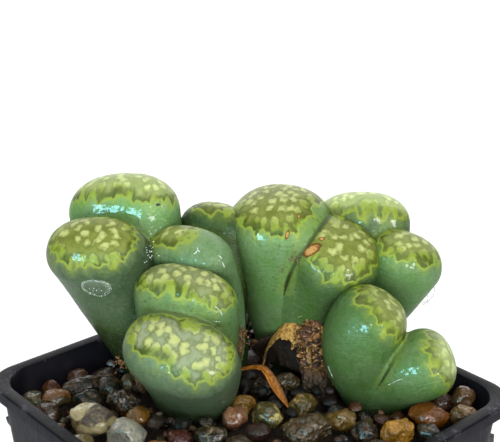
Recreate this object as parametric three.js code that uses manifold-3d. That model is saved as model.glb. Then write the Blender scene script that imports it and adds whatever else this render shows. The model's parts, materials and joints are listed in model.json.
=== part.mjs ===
// A clump of six living-stone heads in a square plastic nursery pot, top-dressed with river grit.
// Millimetres, +Z up. The origin is the middle of the pot's underside, and the pot's sides run
// along X and Y. The clump is laid out in its own frame, turned about Z: x runs across the clump,
// y runs away from the pot's front corner, and heights of the plant are given above the pot's rim.
import * as THREE from "three";
import { mergeVertices } from "three/addons/utils/BufferGeometryUtils.js";
import Module from "manifold-3d";

const wasm = await Module();
wasm.setup();

// Driving dimensions of the pot
const POT_SIDE = 70;
const POT_HEIGHT = 64;
const POT_CORNER = 6.5;
const CORNER_TAPER = 0.12;
const CORNER_STEPS = 4;
const LIP_CHAMFER = 0.4;
const LIP_DROP = 2.6;
const LIP_OVERHANG = 1.2;
const WALL = 1.2;
const WALL_LEAN_DEG = 4.5;
const FLOOR = 1.4;
const DRAIN_RADIUS = 3;
const DRAIN_REACH = 17;
const DRAIN_SIDES = 16;
const OVERCUT = 1;

// Driving dimensions of the filling
const CLEARANCE = 0.3;
const GRIT_TOP = -8;
const SOIL_TOP = -11;

// Driving dimensions of the grains that stand out of the bed
const GRAIN_LEVEL = -6.9;
const GRAIN_LEVEL_SPREAD = 0.8;
const GRAIN_PITCH = 6.8;
const GRAIN_SHAKE = 0.5;
const GRAIN_STAGGER = 0.25;
const GRAIN_HALF = [2.8, 3.9];
const GRAIN_SHARES = [1, 0.88, 0.7];
const GRAIN_SEED = 41;
const HEAD_SHADE_RADIUS = 7;

// How a stone is worn: its flats, how far from its middle they lie, and how much it tilts
const STONE_FLATS = 6;
const STONE_WEAR = [0.74, 0.94];
const STONE_TILT = 0.3;
const PEBBLE_SEED = 7;

// Driving dimensions of the plant
const CLUMP_TURN_DEG = 47.6;
const CROWN_DEPTH = -13;
const CROWN_RADIUS = 3.2;
const SKIN = 0.8;
const POLE_RISE = 1;

// How a leaf's course bends: its straight run out of the crown, and its run-in below the cap
const CROWN_RUN = 0.38;
const CAP_RUN = 0.35;

// The fused body: how much of the leaves' length it covers at the crease and below, how far it stands
// outside them below, and the share of the way to the fork where the crease begins
const CREASE_LENGTH = 0.88;
const BODY_LENGTH = 1.04;
const BODY_COVER = 1.04;
const CREASE_START = 0.5;

// How finely a leaf is skinned, and how round its sections and its dome are
const LEAF_AROUND = 16;
const LEAF_STEPS = 7;
const LEAF_START_STEP = 2;
const BODY_STEPS = 5;
const DOME_STEPS = 4;
const LEAF_FULLNESS = 2.25;
const DOME_FULLNESS = 0.82;
const SWELL = 0.75;

const UP = new THREE.Vector3(0, 0, 1);
const rad = THREE.MathUtils.degToRad;

// A point of the clump's frame, in the pot's frame. z counts from the pot's rim.
function clumpPoint([x, y, z]) {
  return new THREE.Vector3(x, y, z + POT_HEIGHT).applyAxisAngle(UP, rad(CLUMP_TURN_DEG));
}

// A level direction at a heading in the clump's frame: 0 is to the right, 90 is away.
function levelHeading(headingDeg) {
  const turn = rad(headingDeg + CLUMP_TURN_DEG);
  return new THREE.Vector3(Math.cos(turn), Math.sin(turn), 0);
}

// A direction that leans from the vertical towards a heading.
function leaning(leanDeg, headingDeg) {
  return levelHeading(headingDeg)
    .multiplyScalar(Math.sin(rad(leanDeg)))
    .addScaledVector(UP, Math.cos(rad(leanDeg)));
}

// The part of a direction that is square to an axis, at unit length.
function squareTo(direction, axis) {
  return direction.clone().addScaledVector(axis, -direction.dot(axis)).normalize();
}

// A stream of random numbers from 0 to 1 that depends only on its seed.
function seeded(seed) {
  let state = seed;
  return () => {
    state = (state + 0x6d2b79f5) | 0;
    let mixed = Math.imul(state ^ (state >>> 15), 1 | state);
    mixed = (mixed + Math.imul(mixed ^ (mixed >>> 7), 61 | mixed)) ^ mixed;
    return ((mixed ^ (mixed >>> 14)) >>> 0) / 4294967296;
  };
}

// A geometry with shared vertices as a solid.
function solidOf(geometry) {
  const merged = mergeVertices(geometry, 1e-4);
  return new wasm.Manifold(
    new wasm.Mesh({
      numProp: 3,
      vertProperties: merged.getAttribute("position").array,
      triVerts: new Uint32Array(merged.index.array),
    }),
  );
}

// Skins a stack of rings, all with the same number of points, and closes both ends to a point.
function skinned(rings, firstPole, lastPole) {
  const around = rings[0].length;
  const points = [firstPole, ...rings.flat(), lastPole];
  const triangles = [];
  const at = (ring, k) => 1 + ring * around + (k % around);
  for (let k = 0; k < around; k++) {
    triangles.push(0, at(0, k + 1), at(0, k));
    for (let ring = 0; ring + 1 < rings.length; ring++) {
      triangles.push(at(ring, k), at(ring, k + 1), at(ring + 1, k + 1));
      triangles.push(at(ring, k), at(ring + 1, k + 1), at(ring + 1, k));
    }
    triangles.push(at(rings.length - 1, k), at(rings.length - 1, k + 1), points.length - 1);
  }
  return solidOf(new THREE.BufferGeometry().setFromPoints(points).setIndex(triangles));
}

// The largest body of a solid, so that a cut leaves no scraps.
function mainBody(solid) {
  return solid.decompose().reduce((a, b) => (b.volume() > a.volume() ? b : a));
}

// A ball of unit radius made of triangles, scaled to half sizes and moved to a place.
function ellipsoid(place, halfSizes) {
  const ball = new THREE.IcosahedronGeometry(1, 2);
  ball.deleteAttribute("normal");
  ball.deleteAttribute("uv");
  return solidOf(ball.scale(...halfSizes).rotateZ(rad(CLUMP_TURN_DEG)).translate(...clumpPoint(place)));
}

// Pot

// A level rounded square at a height, as a ring of points.
function roundedSquare(side, corner, z) {
  const reach = (side / 2 - corner) * Math.SQRT2;
  const ring = [];
  for (let quarter = 0; quarter < 4; quarter++) {
    const turn = (quarter * Math.PI) / 2;
    for (let step = 0; step <= CORNER_STEPS; step++) {
      const angle = turn + ((Math.PI / 2) * step) / CORNER_STEPS;
      ring.push(
        new THREE.Vector3(
          Math.cos(turn + Math.PI / 4) * reach + corner * Math.cos(angle),
          Math.sin(turn + Math.PI / 4) * reach + corner * Math.sin(angle),
          z,
        ),
      );
    }
  }
  return ring;
}

// A solid between rounded squares, each given by its side, corner radius and height.
function stackedSquares(levels) {
  const ends = [levels[0], levels.at(-1)].map(([, , z]) => new THREE.Vector3(0, 0, z));
  return skinned(levels.map((level) => roundedSquare(...level)), ...ends);
}

const wallSlope = Math.tan(rad(WALL_LEAN_DEG));
const outerSide = (z) => POT_SIDE - 2 * LIP_OVERHANG - 2 * wallSlope * (POT_HEIGHT - z);
const innerSide = (z) => outerSide(z) - 2 * WALL;
const cornerOf = (side) => POT_CORNER - (POT_SIDE - side) * CORNER_TAPER;

// A solid that fills the pot's inside between two heights, a clearance off the walls.
function filling(bottom, top) {
  const level = (z) => [innerSide(z) - 2 * CLEARANCE, cornerOf(outerSide(z)) - WALL, z];
  return stackedSquares([level(bottom), level(top)]);
}

function potSolid() {
  const lipBottom = POT_HEIGHT - LIP_DROP;
  const shell = stackedSquares([
    [outerSide(0), cornerOf(outerSide(0)), 0],
    [outerSide(lipBottom), cornerOf(outerSide(lipBottom)), lipBottom],
    [POT_SIDE, POT_CORNER, lipBottom + CLEARANCE],
    [POT_SIDE, POT_CORNER, POT_HEIGHT - LIP_CHAMFER],
    [POT_SIDE - 2 * LIP_CHAMFER, POT_CORNER - LIP_CHAMFER, POT_HEIGHT],
  ]);
  const mouth = POT_HEIGHT + OVERCUT;
  const hollow = stackedSquares([
    [innerSide(FLOOR), cornerOf(innerSide(FLOOR)) - WALL, FLOOR],
    [innerSide(mouth), cornerOf(outerSide(mouth)) - WALL, mouth],
  ]);
  let pot = shell.subtract(hollow);
  for (let quarter = 0; quarter < 4; quarter++) {
    const turn = (quarter * Math.PI) / 2 + Math.PI / 4;
    const through = 2 * (FLOOR + OVERCUT);
    const hole = new THREE.CylinderGeometry(DRAIN_RADIUS, DRAIN_RADIUS, through, DRAIN_SIDES);
    hole.deleteAttribute("normal");
    hole.deleteAttribute("uv");
    hole.rotateX(Math.PI / 2).translate(DRAIN_REACH * Math.cos(turn), DRAIN_REACH * Math.sin(turn), 0);
    pot = pot.subtract(solidOf(hole));
  }
  return pot;
}

// Heads

// The six heads. foot: where the head leaves the crown, leaning by lean towards a heading. fork: how
// far up its leaves the head is fused. cap: the middle of a leaf at its widest. along: the heading of
// the fissure. size: half length along the fissure, half width outward and inward, height of the dome.
const HEADS = {
  head_left_front: {
    foot: [-9.5, 6], lean: 12, toward: 250, fork: 0.62,
    leaves: [
      { cap: [-12, -2.5, 8], lean: 46, toward: 255, along: -30, side: -1, size: [10.8, 7.8, 6.6, 5.6] },
      { cap: [-11.6, 6.5, 14], lean: 12, toward: 260, along: -22, side: 1, size: [10.2, 5.8, 5.4, 6.5] },
    ],
  },
  head_right_front: {
    foot: [23, 9], lean: 15, toward: 0, fork: 0.66, swell: 1.1,
    leaves: [
      { cap: [22.6, 6.5, 10], lean: 34, toward: 10, along: 75, side: 1, size: [8.5, 7.8, 6.5, 6] },
      { cap: [32.6, 3, 3.4], lean: 64, toward: -5, along: 75, side: -1, size: [7.2, 6.2, 6.2, 5.2] },
    ],
  },
  head_centre: {
    foot: [8, 24], lean: 5, toward: 0, fork: 0.62,
    leaves: [
      { cap: [5.5, 22, 22.2], lean: 14, toward: 220, along: 62, side: 1, size: [9.6, 10.2, 10.6, 7.8] },
      { cap: [17.6, 16, 17.2], lean: 40, toward: -60, along: 62, side: -1, size: [8.6, 7.2, 6.6, 6.8] },
    ],
  },
  head_left_rear: {
    foot: [-12, 13.2], lean: 28, toward: 180, fork: 0.6,
    leaves: [
      { cap: [-28.4, 12.5, 21.2], lean: 38, toward: 242, along: -10, side: -1, size: [9.8, 7.2, 6, 6.2] },
      { cap: [-24.3, 22.5, 25], lean: 12, toward: 120, along: -12, side: 1, size: [11, 6.8, 6, 7.5] },
    ],
  },
  head_right_rear: {
    foot: [14.2, 17.2], lean: 20, toward: -25, fork: 0.62, swell: 1.15,
    leaves: [
      { cap: [21.8, 24, 22.8], lean: 10, toward: 100, along: -6, side: 1, size: [9.4, 6, 5.5, 6] },
      { cap: [29.6, 17, 17.6], lean: 32, toward: -40, along: -6, side: -1, size: [7.4, 6, 5.5, 5.5] },
    ],
  },
  head_mid_rear: {
    foot: [-5, 16], lean: 8, toward: 150, fork: 0.6,
    leaves: [
      { cap: [-11.3, 14, 19.6], lean: 22, toward: 230, along: -30, side: -1, size: [9.2, 5.6, 5.2, 5.6] },
      { cap: [-6.8, 22, 21], lean: 8, toward: 60, along: -30, side: 1, size: [7.6, 5.5, 5, 6] },
    ],
  },
};

// The course of a leaf from the crown to its cap, with its section's axes at any point of the way.
function leafCourse(head, leaf) {
  const foot = clumpPoint([...head.foot, CROWN_DEPTH]);
  const cap = clumpPoint(leaf.cap);
  const normal = leaning(leaf.lean, leaf.toward);
  const heading = levelHeading(leaf.along);
  const along = squareTo(heading, normal);
  const reach = cap.distanceTo(foot);
  const path = new THREE.CubicBezierCurve3(
    foot,
    foot.clone().addScaledVector(leaning(head.lean, head.toward), reach * CROWN_RUN),
    cap.clone().addScaledVector(normal, -reach * CAP_RUN),
    cap,
  );
  const axesAt = (v) => {
    const tangent = path.getTangent(v);
    const lengthAxis = squareTo(heading.clone().lerp(along, v), tangent);
    return [lengthAxis, tangent.clone().cross(lengthAxis).multiplyScalar(leaf.side)];
  };
  return { foot, cap, normal, path, axesAt };
}

// How wide a section is on the way from the crown's radius to its full size.
function swollen(head, full, v) {
  return CROWN_RADIUS + (full - CROWN_RADIUS) * Math.sin((Math.PI / 2) * v) ** (head.swell ?? SWELL);
}

// One ring of a leaf: an oval with a half length and two half widths, outward and inward.
function leafRing(centre, [lengthAxis, outAxis], [halfLength, halfOut, halfIn]) {
  const full = (value) => Math.sign(value) * Math.abs(value) ** (2 / LEAF_FULLNESS);
  const ring = [];
  for (let k = 0; k < LEAF_AROUND; k++) {
    const angle = (2 * Math.PI * k) / LEAF_AROUND;
    const out = full(Math.sin(angle));
    ring.push(
      centre
        .clone()
        .addScaledVector(lengthAxis, halfLength * full(Math.cos(angle)))
        .addScaledVector(outAxis, (out > 0 ? halfOut : halfIn) * out),
    );
  }
  return ring;
}

// A leaf: a stout lobe that rises out of the head's body, swells and ends in a domed face.
function leafSolid(head, leaf, extra) {
  const { cap, normal, path, axesAt } = leafCourse(head, leaf);
  const [dome, ...halves] = [leaf.size[3], ...leaf.size.slice(0, 3)];
  const rings = [];
  for (let step = LEAF_START_STEP; step <= LEAF_STEPS; step++) {
    const v = step / LEAF_STEPS;
    const section = halves.map((full) => swollen(head, full, v) + extra);
    rings.push(leafRing(path.getPoint(v), axesAt(v), section));
  }
  for (let step = 1; step < DOME_STEPS; step++) {
    const climb = ((Math.PI / 2) * step) / DOME_STEPS;
    const section = halves.map((full) => (full + extra) * Math.cos(climb) ** DOME_FULLNESS);
    const centre = cap.clone().addScaledVector(normal, (dome + extra) * Math.sin(climb));
    rings.push(leafRing(centre, axesAt(1), section));
  }
  if (leaf.side < 0) rings.forEach((ring) => ring.reverse());
  const startAt = LEAF_START_STEP / LEAF_STEPS;
  const start = path.getPoint(startAt).addScaledVector(path.getTangent(startAt), -extra);
  return skinned(rings, start, cap.clone().addScaledVector(normal, dome + extra));
}

// The fused lower body of a head. It holds both leaves near the foot, then narrows until at the fork
// it only fills the crease between them.
function bodySolid(head, extra) {
  const [a, b] = head.leaves.map((leaf) => leafCourse(head, leaf));
  const rings = [];
  let middle = a.foot;
  for (let step = 0; step <= BODY_STEPS; step++) {
    const v = (head.fork * step) / BODY_STEPS;
    const [atA, atB] = [a.path.getPoint(v), b.path.getPoint(v)];
    middle = atA.clone().lerp(atB, 0.5);
    const tangent = a.path.getTangent(v).lerp(b.path.getTangent(v), 0.5).normalize();
    const lengthAxis = squareTo(a.axesAt(v)[0].lerp(b.axesAt(v)[0], 0.5), tangent);
    const lengths = head.leaves.map((leaf) => swollen(head, leaf.size[0], v));
    const hold = 1 - THREE.MathUtils.smoothstep(v / head.fork, CREASE_START, 1);
    const covered = THREE.MathUtils.lerp(CREASE_LENGTH, BODY_LENGTH, hold);
    const halfLength = Math.max(...lengths) * covered + extra;
    const apart = atA.distanceTo(atB) / 2;
    const halfAcross = head.leaves.map(({ size: [, out] }, k) => {
      const sisterIn = head.leaves[1 - k].size[2];
      const held = Math.max(swollen(head, out, v), swollen(head, sisterIn, v) - 2 * apart);
      return apart + held * BODY_COVER * hold + extra;
    });
    if (head.leaves[0].side < 0) halfAcross.reverse();
    rings.push(leafRing(middle, [lengthAxis, tangent.cross(lengthAxis)], [halfLength, ...halfAcross]));
  }
  const below = a.foot.clone().addScaledVector(leaning(head.lean, head.toward), -POLE_RISE - extra);
  return skinned(rings, below, middle.addScaledVector(UP, POLE_RISE + extra));
}

function headSolid(head, extra = 0) {
  const [first, second] = head.leaves.map((leaf) => leafSolid(head, leaf, extra));
  return first.add(second).add(bodySolid(head, extra));
}

// The stem and taproot under the heads: tapered roots that meet at one hub.
const HUB = [4, 16, -24];
const STEM_RADII = [2.1, 1.7];
const STEM_SAG = 1;
const ROOT_SWAY = [1.5, -1, 0];
const ROOT_TIPS = [
  { at: [3, 13, -52], radii: [2.2, 0.7] },
  { at: [-10, 4, -40], radii: [1.3, 0.6] },
  { at: [16, 10, -42], radii: [1.3, 0.6] },
];
const ROOT_AROUND = 5;
const ROOT_STEPS = 2;
const ROOT_POLE = 0.3;

// A tapered round stem along a curve through clump points, with a radius at each end.
function stemSolid(points, [startRadius, endRadius], extra) {
  const path = new THREE.CatmullRomCurve3(points.map(clumpPoint));
  const rings = [];
  for (let step = 0; step <= ROOT_STEPS; step++) {
    const v = step / ROOT_STEPS;
    const tangent = path.getTangent(v);
    const side = squareTo(new THREE.Vector3(1, 0, 0.2), tangent);
    const radius = startRadius + (endRadius - startRadius) * v + extra;
    const other = tangent.clone().cross(side);
    const ring = [];
    for (let k = 0; k < ROOT_AROUND; k++) {
      const angle = (2 * Math.PI * k) / ROOT_AROUND;
      ring.push(
        path
          .getPoint(v)
          .addScaledVector(side, radius * Math.cos(angle))
          .addScaledVector(other, radius * Math.sin(angle)),
      );
    }
    rings.push(ring);
  }
  const first = path.getPoint(0).addScaledVector(path.getTangent(0), -ROOT_POLE - extra);
  const end = path.getPoint(1).addScaledVector(path.getTangent(1), ROOT_POLE + extra);
  return skinned(rings, first, end);
}

function crownSolid(extra = 0) {
  const stems = Object.values(HEADS).map(({ foot: [x, y] }) => {
    const under = [x, y, CROWN_DEPTH - POLE_RISE - ROOT_POLE - CLEARANCE];
    const elbow = [(x + HUB[0]) / 2, (y + HUB[1]) / 2, (under[2] + HUB[2]) / 2 - STEM_SAG];
    return stemSolid([HUB, elbow, under], STEM_RADII, extra);
  });
  const roots = ROOT_TIPS.map(({ at, radii }) => {
    const bend = at.map((value, k) => (value + HUB[k]) / 2 + ROOT_SWAY[k]);
    return stemSolid([HUB, bend, at], radii, extra);
  });
  return wasm.Manifold.union([...stems, ...roots]);
}

// Dry remains of old leaves

// A strip with a lens section along clump points, each with its half width.
function stripSolid(points, halfWidths, thickness, facing, extra) {
  const path = new THREE.CatmullRomCurve3(points.map(clumpPoint));
  const last = points.length - 1;
  const rings = points.map((point, k) => {
    const tangent = path.getTangent(k / last);
    const face = squareTo(facing, tangent);
    const side = tangent.clone().cross(face);
    const half = halfWidths[k] + extra;
    const deep = thickness / 2 + extra;
    const upper = [[half, 0], [half / 2, deep], [-half / 2, deep]];
    const lower = upper.map(([across, up]) => [-across, -up]);
    return [...upper, ...lower].map(([across, up]) =>
      path.getPoint(k / last).addScaledVector(side, -across).addScaledVector(face, up),
    );
  });
  const end = (v, step) => path.getPoint(v).addScaledVector(path.getTangent(v), step);
  return skinned(rings, end(0, -STRIP_POLE - extra), end(1, STRIP_POLE + extra));
}

// The curled strip of old skin that hangs from the left front head down onto the stones.
const STRIP_POINTS = [
  [-1.9, 8.6, -1.6], [-0.2, 8, -0.8], [1.2, 7, 0], [2.7, 6, 0.3],
  [3.7, 5, -0.4], [5, 3.5, -1.9], [6.3, 2, -3.5], [7.5, 0.9, -4.9],
];
const STRIP_HALF_WIDTHS = [0.5, 0.7, 0.8, 0.9, 1, 1.1, 1, 0.5];
const STRIP_FACING = leaning(35, -60);
const STRIP_POLE = 0.2;

function dryStrip(extra = 0) {
  return stripSolid(STRIP_POINTS, STRIP_HALF_WIDTHS, SKIN, STRIP_FACING, extra);
}

// The arched rest of an old leaf: its open front edge, and where it lies against the head behind.
const ARCH_FRONT = [
  [1.8, 13.4, -7], [2.8, 13.6, -2.6], [4.2, 13.6, 1.4], [5.9, 13.3, 3.6], [7.5, 13, 4.2], [9, 12.7, 3.4],
  [10.3, 12.2, 2.2], [11.4, 11.6, 0.4], [12, 11, -3], [12.4, 10.6, -7],
];
const ARCH_BACK = [
  [3.6, 18.6, -7], [4.2, 17.6, -2.6], [5.4, 16.8, 1.8], [7, 16.4, 4.6], [8.7, 16, 5.6], [10.4, 15.6, 5.9],
  [12, 15, 5.6], [13.4, 14.2, 4.4], [14.4, 13.4, 0], [15, 13, -7],
];
const ARCH_AXIS = [[7, 12, -6], [10, 15.5, -5]];
const ARCH_DEPTH_STEPS = 3;
const ARCH_BULGE = 0.7;

function archSolid(extra) {
  const [axisFront, axisBack] = ARCH_AXIS.map(clumpPoint);
  const rings = ARCH_FRONT.map((front, k) => {
    const outer = [];
    const inner = [];
    for (let step = 0; step <= ARCH_DEPTH_STEPS; step++) {
      const v = step / ARCH_DEPTH_STEPS;
      const point = clumpPoint(front).lerp(clumpPoint(ARCH_BACK[k]), v * (1 + extra) - extra / 2);
      const away = point.clone().sub(axisFront.clone().lerp(axisBack, v)).normalize();
      point.addScaledVector(away, ARCH_BULGE * Math.sin(Math.PI * v));
      outer.push(point.clone().addScaledVector(away, extra));
      inner.unshift(point.clone().addScaledVector(away, -SKIN - extra));
    }
    return [...inner.reverse(), ...outer.reverse()];
  });
  const middleOf = (ring) => ring[0].clone().lerp(ring[ARCH_DEPTH_STEPS + 1], 0.5);
  return skinned(rings, middleOf(rings[0]), middleOf(rings.at(-1)));
}

// The crumbled rest of a dead head that the arch has grown into: a lumpy column.
const STUB_LEVELS = [
  { at: [12.4, 13.8, 7], radius: 1.3 },
  { at: [12.2, 13.2, 4.6], radius: 2.1 },
  { at: [12.4, 12.4, 1.2], radius: 2.4 },
  { at: [13, 11.4, -2.4], radius: 2.7 },
  { at: [13.8, 10.4, -5.8], radius: 3 },
  { at: [14.2, 10, -8.6], radius: 2.6 },
];
const STUB_AROUND = 9;
const STUB_POLE = 0.6;
const STUB_LUMPS = [
  { waves: 3, height: 0.16, twist: 2.1 },
  { waves: 2, height: 0.1, twist: -1.3 },
];

function stubSolid(extra) {
  const rings = STUB_LEVELS.map(({ at, radius }, level) => {
    const ring = [];
    for (let k = 0; k < STUB_AROUND; k++) {
      const angle = (2 * Math.PI * k) / STUB_AROUND;
      const lumps = STUB_LUMPS.map(
        ({ waves, height, twist }) => height * Math.sin(waves * angle + twist * level),
      );
      const lumpy = radius * (1 + lumps[0] + lumps[1]) + extra;
      ring.push(clumpPoint(at).addScaledVector(levelHeading(THREE.MathUtils.radToDeg(angle)), lumpy));
    }
    return ring;
  });
  rings.reverse();
  const [bottom, top] = [STUB_LEVELS.at(-1), STUB_LEVELS[0]].map(({ at }) => clumpPoint(at));
  bottom.addScaledVector(UP, -STUB_POLE - extra);
  return skinned(rings, bottom, top.addScaledVector(UP, STUB_POLE + extra));
}

function drySheath(extra = 0) {
  return archSolid(extra).add(stubSolid(extra));
}

// Flakes of old skin that still clasp a head: each lies on the head's surface inside an ellipsoid.
const COLLARS = {
  dry_collar_left: { head: "head_left_front", at: [-21.5, 5.5, -2], halfSizes: [2.6, 3.4, 5.6] },
  dry_collar_right: { head: "head_left_front", at: [-2, 8.5, 3.6], halfSizes: [2.6, 2.4, 4.4] },
  dry_collar_centre: { head: "head_centre", at: [1.4, 18, -5], halfSizes: [3, 4.4, 4] },
};

function collarSolid({ head, at, halfSizes }, extra = 0) {
  const outside = headSolid(HEADS[head], CLEARANCE + SKIN + extra);
  const patch = ellipsoid(at, halfSizes.map((half) => half + extra));
  return outside.subtract(headSolid(HEADS[head], CLEARANCE)).intersect(patch);
}

// Stones

// The loose stones on the bed. at: the middle in the clump's frame. size: across, away and up, before
// the stone is turned about the vertical by turn degrees.
const PEBBLES = {
  pebble_red_brown: { at: [-37.2, 6, -4.6], size: [3.8, 4, 3.6], turn: 10, color: 0x7a4630 },
  pebble_rust_back: { at: [-33, 10.2, -4.4], size: [4.6, 3.4, 3], turn: 30, color: 0x6a4a38 },
  pebble_purple_slab: { at: [-31, 7.6, -5], size: [9.2, 4.6, 3.6], turn: 24, color: 0x52444a },
  pebble_mauve: { at: [-28, 12.6, -5.4], size: [5, 4, 3.2], turn: -10, color: 0x4e3e40 },
  pebble_ochre: { at: [-35.8, 2.4, -4.8], size: [6.4, 4, 3.6], turn: 22, color: 0x7a5c30 },
  pebble_pale_green: { at: [-39.6, 1.6, -4.6], size: [4.8, 4.6, 4], turn: 0, color: 0x6c7468 },
  pebble_left_brown: { at: [-36.4, -2.2, -5], size: [5.2, 4.6, 4], turn: -20, color: 0x5c463c },
  pebble_dark_green: { at: [-29.6, 2, -5], size: [6.6, 5.4, 4.8], turn: 12, color: 0x2e3a34 },
  pebble_speckled: { at: [-26.4, 7.6, -5], size: [5, 4.8, 4.6], turn: 0, color: 0x34362f },
  pebble_cream_small: { at: [-23.2, 9.4, -5.2], size: [4.2, 3.8, 3.8], turn: 40, color: 0x8a846a },
  pebble_brown_big: { at: [-23, 2.6, -5.2], size: [8, 5.6, 4.6], turn: -24, color: 0x4a3c2c },
  pebble_cream_slate: { at: [-27.6, -5.3, -4.2], size: [9.8, 7.4, 5.6], turn: -14, color: 0x8a8678 },
  pebble_pale_round: { at: [-20.9, -11, -3.6], size: [7.8, 7, 5.8], turn: 0, color: 0xa6a79c },
  pebble_orange_brown: { at: [-19.8, -3.4, -4.6], size: [4.8, 4.6, 4], turn: 35, color: 0x96602c },
  pebble_olive_tan: { at: [-28.8, -11.6, -4.8], size: [4.6, 4, 3.4], turn: -20, color: 0x77704a },
  pebble_orange_front: { at: [-15.2, -14.4, -4.4], size: [5.4, 4.2, 3.6], turn: 20, color: 0x965a34 },
  pebble_dark_red: { at: [-12, -11.4, -4.6], size: [4.4, 5.4, 4.4], turn: 70, color: 0x50281f },
  pebble_slate_front: { at: [-6.4, -9.2, -4.8], size: [6.2, 4.6, 3.8], turn: 8, color: 0x4d4838 },
  pebble_pink: { at: [-2.4, -4.4, -4], size: [4.8, 4.4, 4.4], turn: 20, color: 0x94685c },
  pebble_orange_mid: { at: [-1, 1.4, -4.6], size: [5.2, 4.4, 4], turn: -10, color: 0x7d4c26 },
  pebble_dark_streak: { at: [3.7, -3.2, -4.4], size: [6.6, 5.4, 5], turn: -16, color: 0x3e4034 },
  pebble_under_arch: { at: [8, 11, -5.8], size: [5.2, 4.4, 4.2], turn: 10, color: 0x35352a },
  pebble_dark_hollow: { at: [2.4, 8.6, -6], size: [5.4, 4.6, 3.8], turn: -30, color: 0x24241f },
  pebble_crumbly: { at: [10, 1.6, -5], size: [5.6, 5, 4.4], turn: 30, color: 0x595234 },
  pebble_big_front: { at: [10.6, -7.6, -4.2], size: [11, 6.4, 5], turn: 8, color: 0x5a4d3a },
  pebble_tan: { at: [17, -3.6, -4.6], size: [6.2, 4.8, 4], turn: -12, color: 0x7d6238 },
  pebble_dark_grey: { at: [20.6, -8.8, -4.2], size: [5, 4.6, 4.8], turn: 15, color: 0x45423c },
  pebble_orange_nodule: { at: [26.6, -8.8, -3.8], size: [7, 5.6, 5], turn: 12, color: 0x85592c },
  pebble_grey_right: { at: [31.8, -9.4, -3.6], size: [4.6, 4, 3.8], turn: -30, color: 0x38383a },
  pebble_bright_orange: { at: [32.6, -4, -3.4], size: [8, 5.6, 5], turn: 10, color: 0x9c5a22 },
  pebble_purple_right: { at: [35.8, 1.6, -4], size: [6, 4.4, 4], turn: 18, color: 0x584244 },
  pebble_brown_corner: { at: [39.4, 0.6, -2.6], size: [5.4, 4.8, 5], turn: 25, color: 0x604a34 },
  pebble_tan_crumbly: { at: [38.8, -4, -3.2], size: [4.8, 4.6, 4.4], turn: -20, color: 0x7a6a48 },
  pebble_rear_left: { at: [-12, 28.5, -4.8], size: [6.4, 5.4, 4.4], turn: 30, color: 0x6a5238 },
  pebble_rear_pale: { at: [-3.4, 35.4, -4.6], size: [7, 5.6, 4.8], turn: -15, color: 0x98938a },
  pebble_rear_dark: { at: [4.4, 36.4, -4.4], size: [6, 5.4, 4.8], turn: 40, color: 0x3c3a36 },
  pebble_rear_orange: { at: [13, 28, -4.6], size: [6.8, 5.2, 4.4], turn: 10, color: 0x8c5a30 },
  pebble_rear_right: { at: [28.8, 11.4, -4.4], size: [5.8, 5.2, 4.6], turn: -40, color: 0x5a4a42 },
};

// A direction drawn evenly over the ball.
function randomDirection(random) {
  const z = 2 * random() - 1;
  const turn = 2 * Math.PI * random();
  const level = Math.sqrt(1 - z * z);
  return new THREE.Vector3(level * Math.cos(turn), level * Math.sin(turn), z);
}

// A river stone: a ball worn to a few flats, then stretched, tilted and turned to its place.
function stoneSolid({ at, size, turn }, random, detail, extra = 0) {
  const flats = Array.from({ length: STONE_FLATS }, () => ({
    facing: randomDirection(random),
    height: THREE.MathUtils.lerp(...STONE_WEAR, random()),
  }));
  const tilt = [0, 1].map(() => STONE_TILT * (random() - 0.5));
  const ball = new THREE.IcosahedronGeometry(1, detail);
  ball.deleteAttribute("normal");
  ball.deleteAttribute("uv");
  const geometry = mergeVertices(ball, 1e-4);
  const position = geometry.getAttribute("position");
  const point = new THREE.Vector3();
  for (let i = 0; i < position.count; i++) {
    point.fromBufferAttribute(position, i);
    const worn = flats.map(({ facing, height }) => height / Math.max(point.dot(facing), height));
    point.multiplyScalar(Math.min(...worn));
    position.setXYZ(i, ...point);
  }
  geometry.scale(...size.map((whole) => whole / 2 + extra));
  geometry.rotateX(tilt[0]).rotateY(tilt[1]).rotateZ(rad(turn + CLUMP_TURN_DEG));
  return solidOf(geometry.translate(...clumpPoint(at)));
}

function pebbleSolid(name, extra = 0) {
  const random = seeded(Object.keys(PEBBLES).indexOf(name) + PEBBLE_SEED);
  return stoneSolid(PEBBLES[name], random, 1, extra);
}

// The bed: a layer of grit whose small stones stand out of it, placed on a shaken grid.
function bedSolid() {
  const random = seeded(GRAIN_SEED);
  const level = POT_HEIGHT + GRIT_TOP;
  const grains = [filling(POT_HEIGHT + SOIL_TOP + CLEARANCE, level)];
  const half = Math.floor(innerSide(level) / 2 / GRAIN_PITCH);
  for (let row = -half; row <= half; row++) {
    for (let column = -half; column <= half; column++) {
      const shake = [0, 1].map(() => GRAIN_PITCH * GRAIN_SHAKE * (random() - 0.5));
      const whole = 2 * THREE.MathUtils.lerp(...GRAIN_HALF, random());
      const size = GRAIN_SHARES.map((share) => whole * share);
      const stagger = row % 2 ? GRAIN_STAGGER : -GRAIN_STAGGER;
      const spot = new THREE.Vector3(column + stagger, row, 0).multiplyScalar(GRAIN_PITCH);
      spot.add(new THREE.Vector3(...shake, 0));
      spot.applyAxisAngle(UP, -rad(CLUMP_TURN_DEG));
      const at = [spot.x, spot.y, GRAIN_LEVEL + GRAIN_LEVEL_SPREAD * (random() - 0.5)];
      const near = (place, reach) => Math.hypot(place[0] - at[0], place[1] - at[1]) < reach;
      const grain = stoneSolid({ at, size, turn: 360 * random() }, random, 0);
      const underPebble = Object.values(PEBBLES).some((pebble) => near(pebble.at, pebble.size[0] / 2));
      const underHead = Object.values(HEADS).some((head) => near(head.foot, HEAD_SHADE_RADIUS));
      if (!underPebble && !underHead) grains.push(grain);
    }
  }
  return wasm.Manifold.union(grains).intersect(filling(0, POT_HEIGHT));
}

const group = new THREE.Group();

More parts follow.
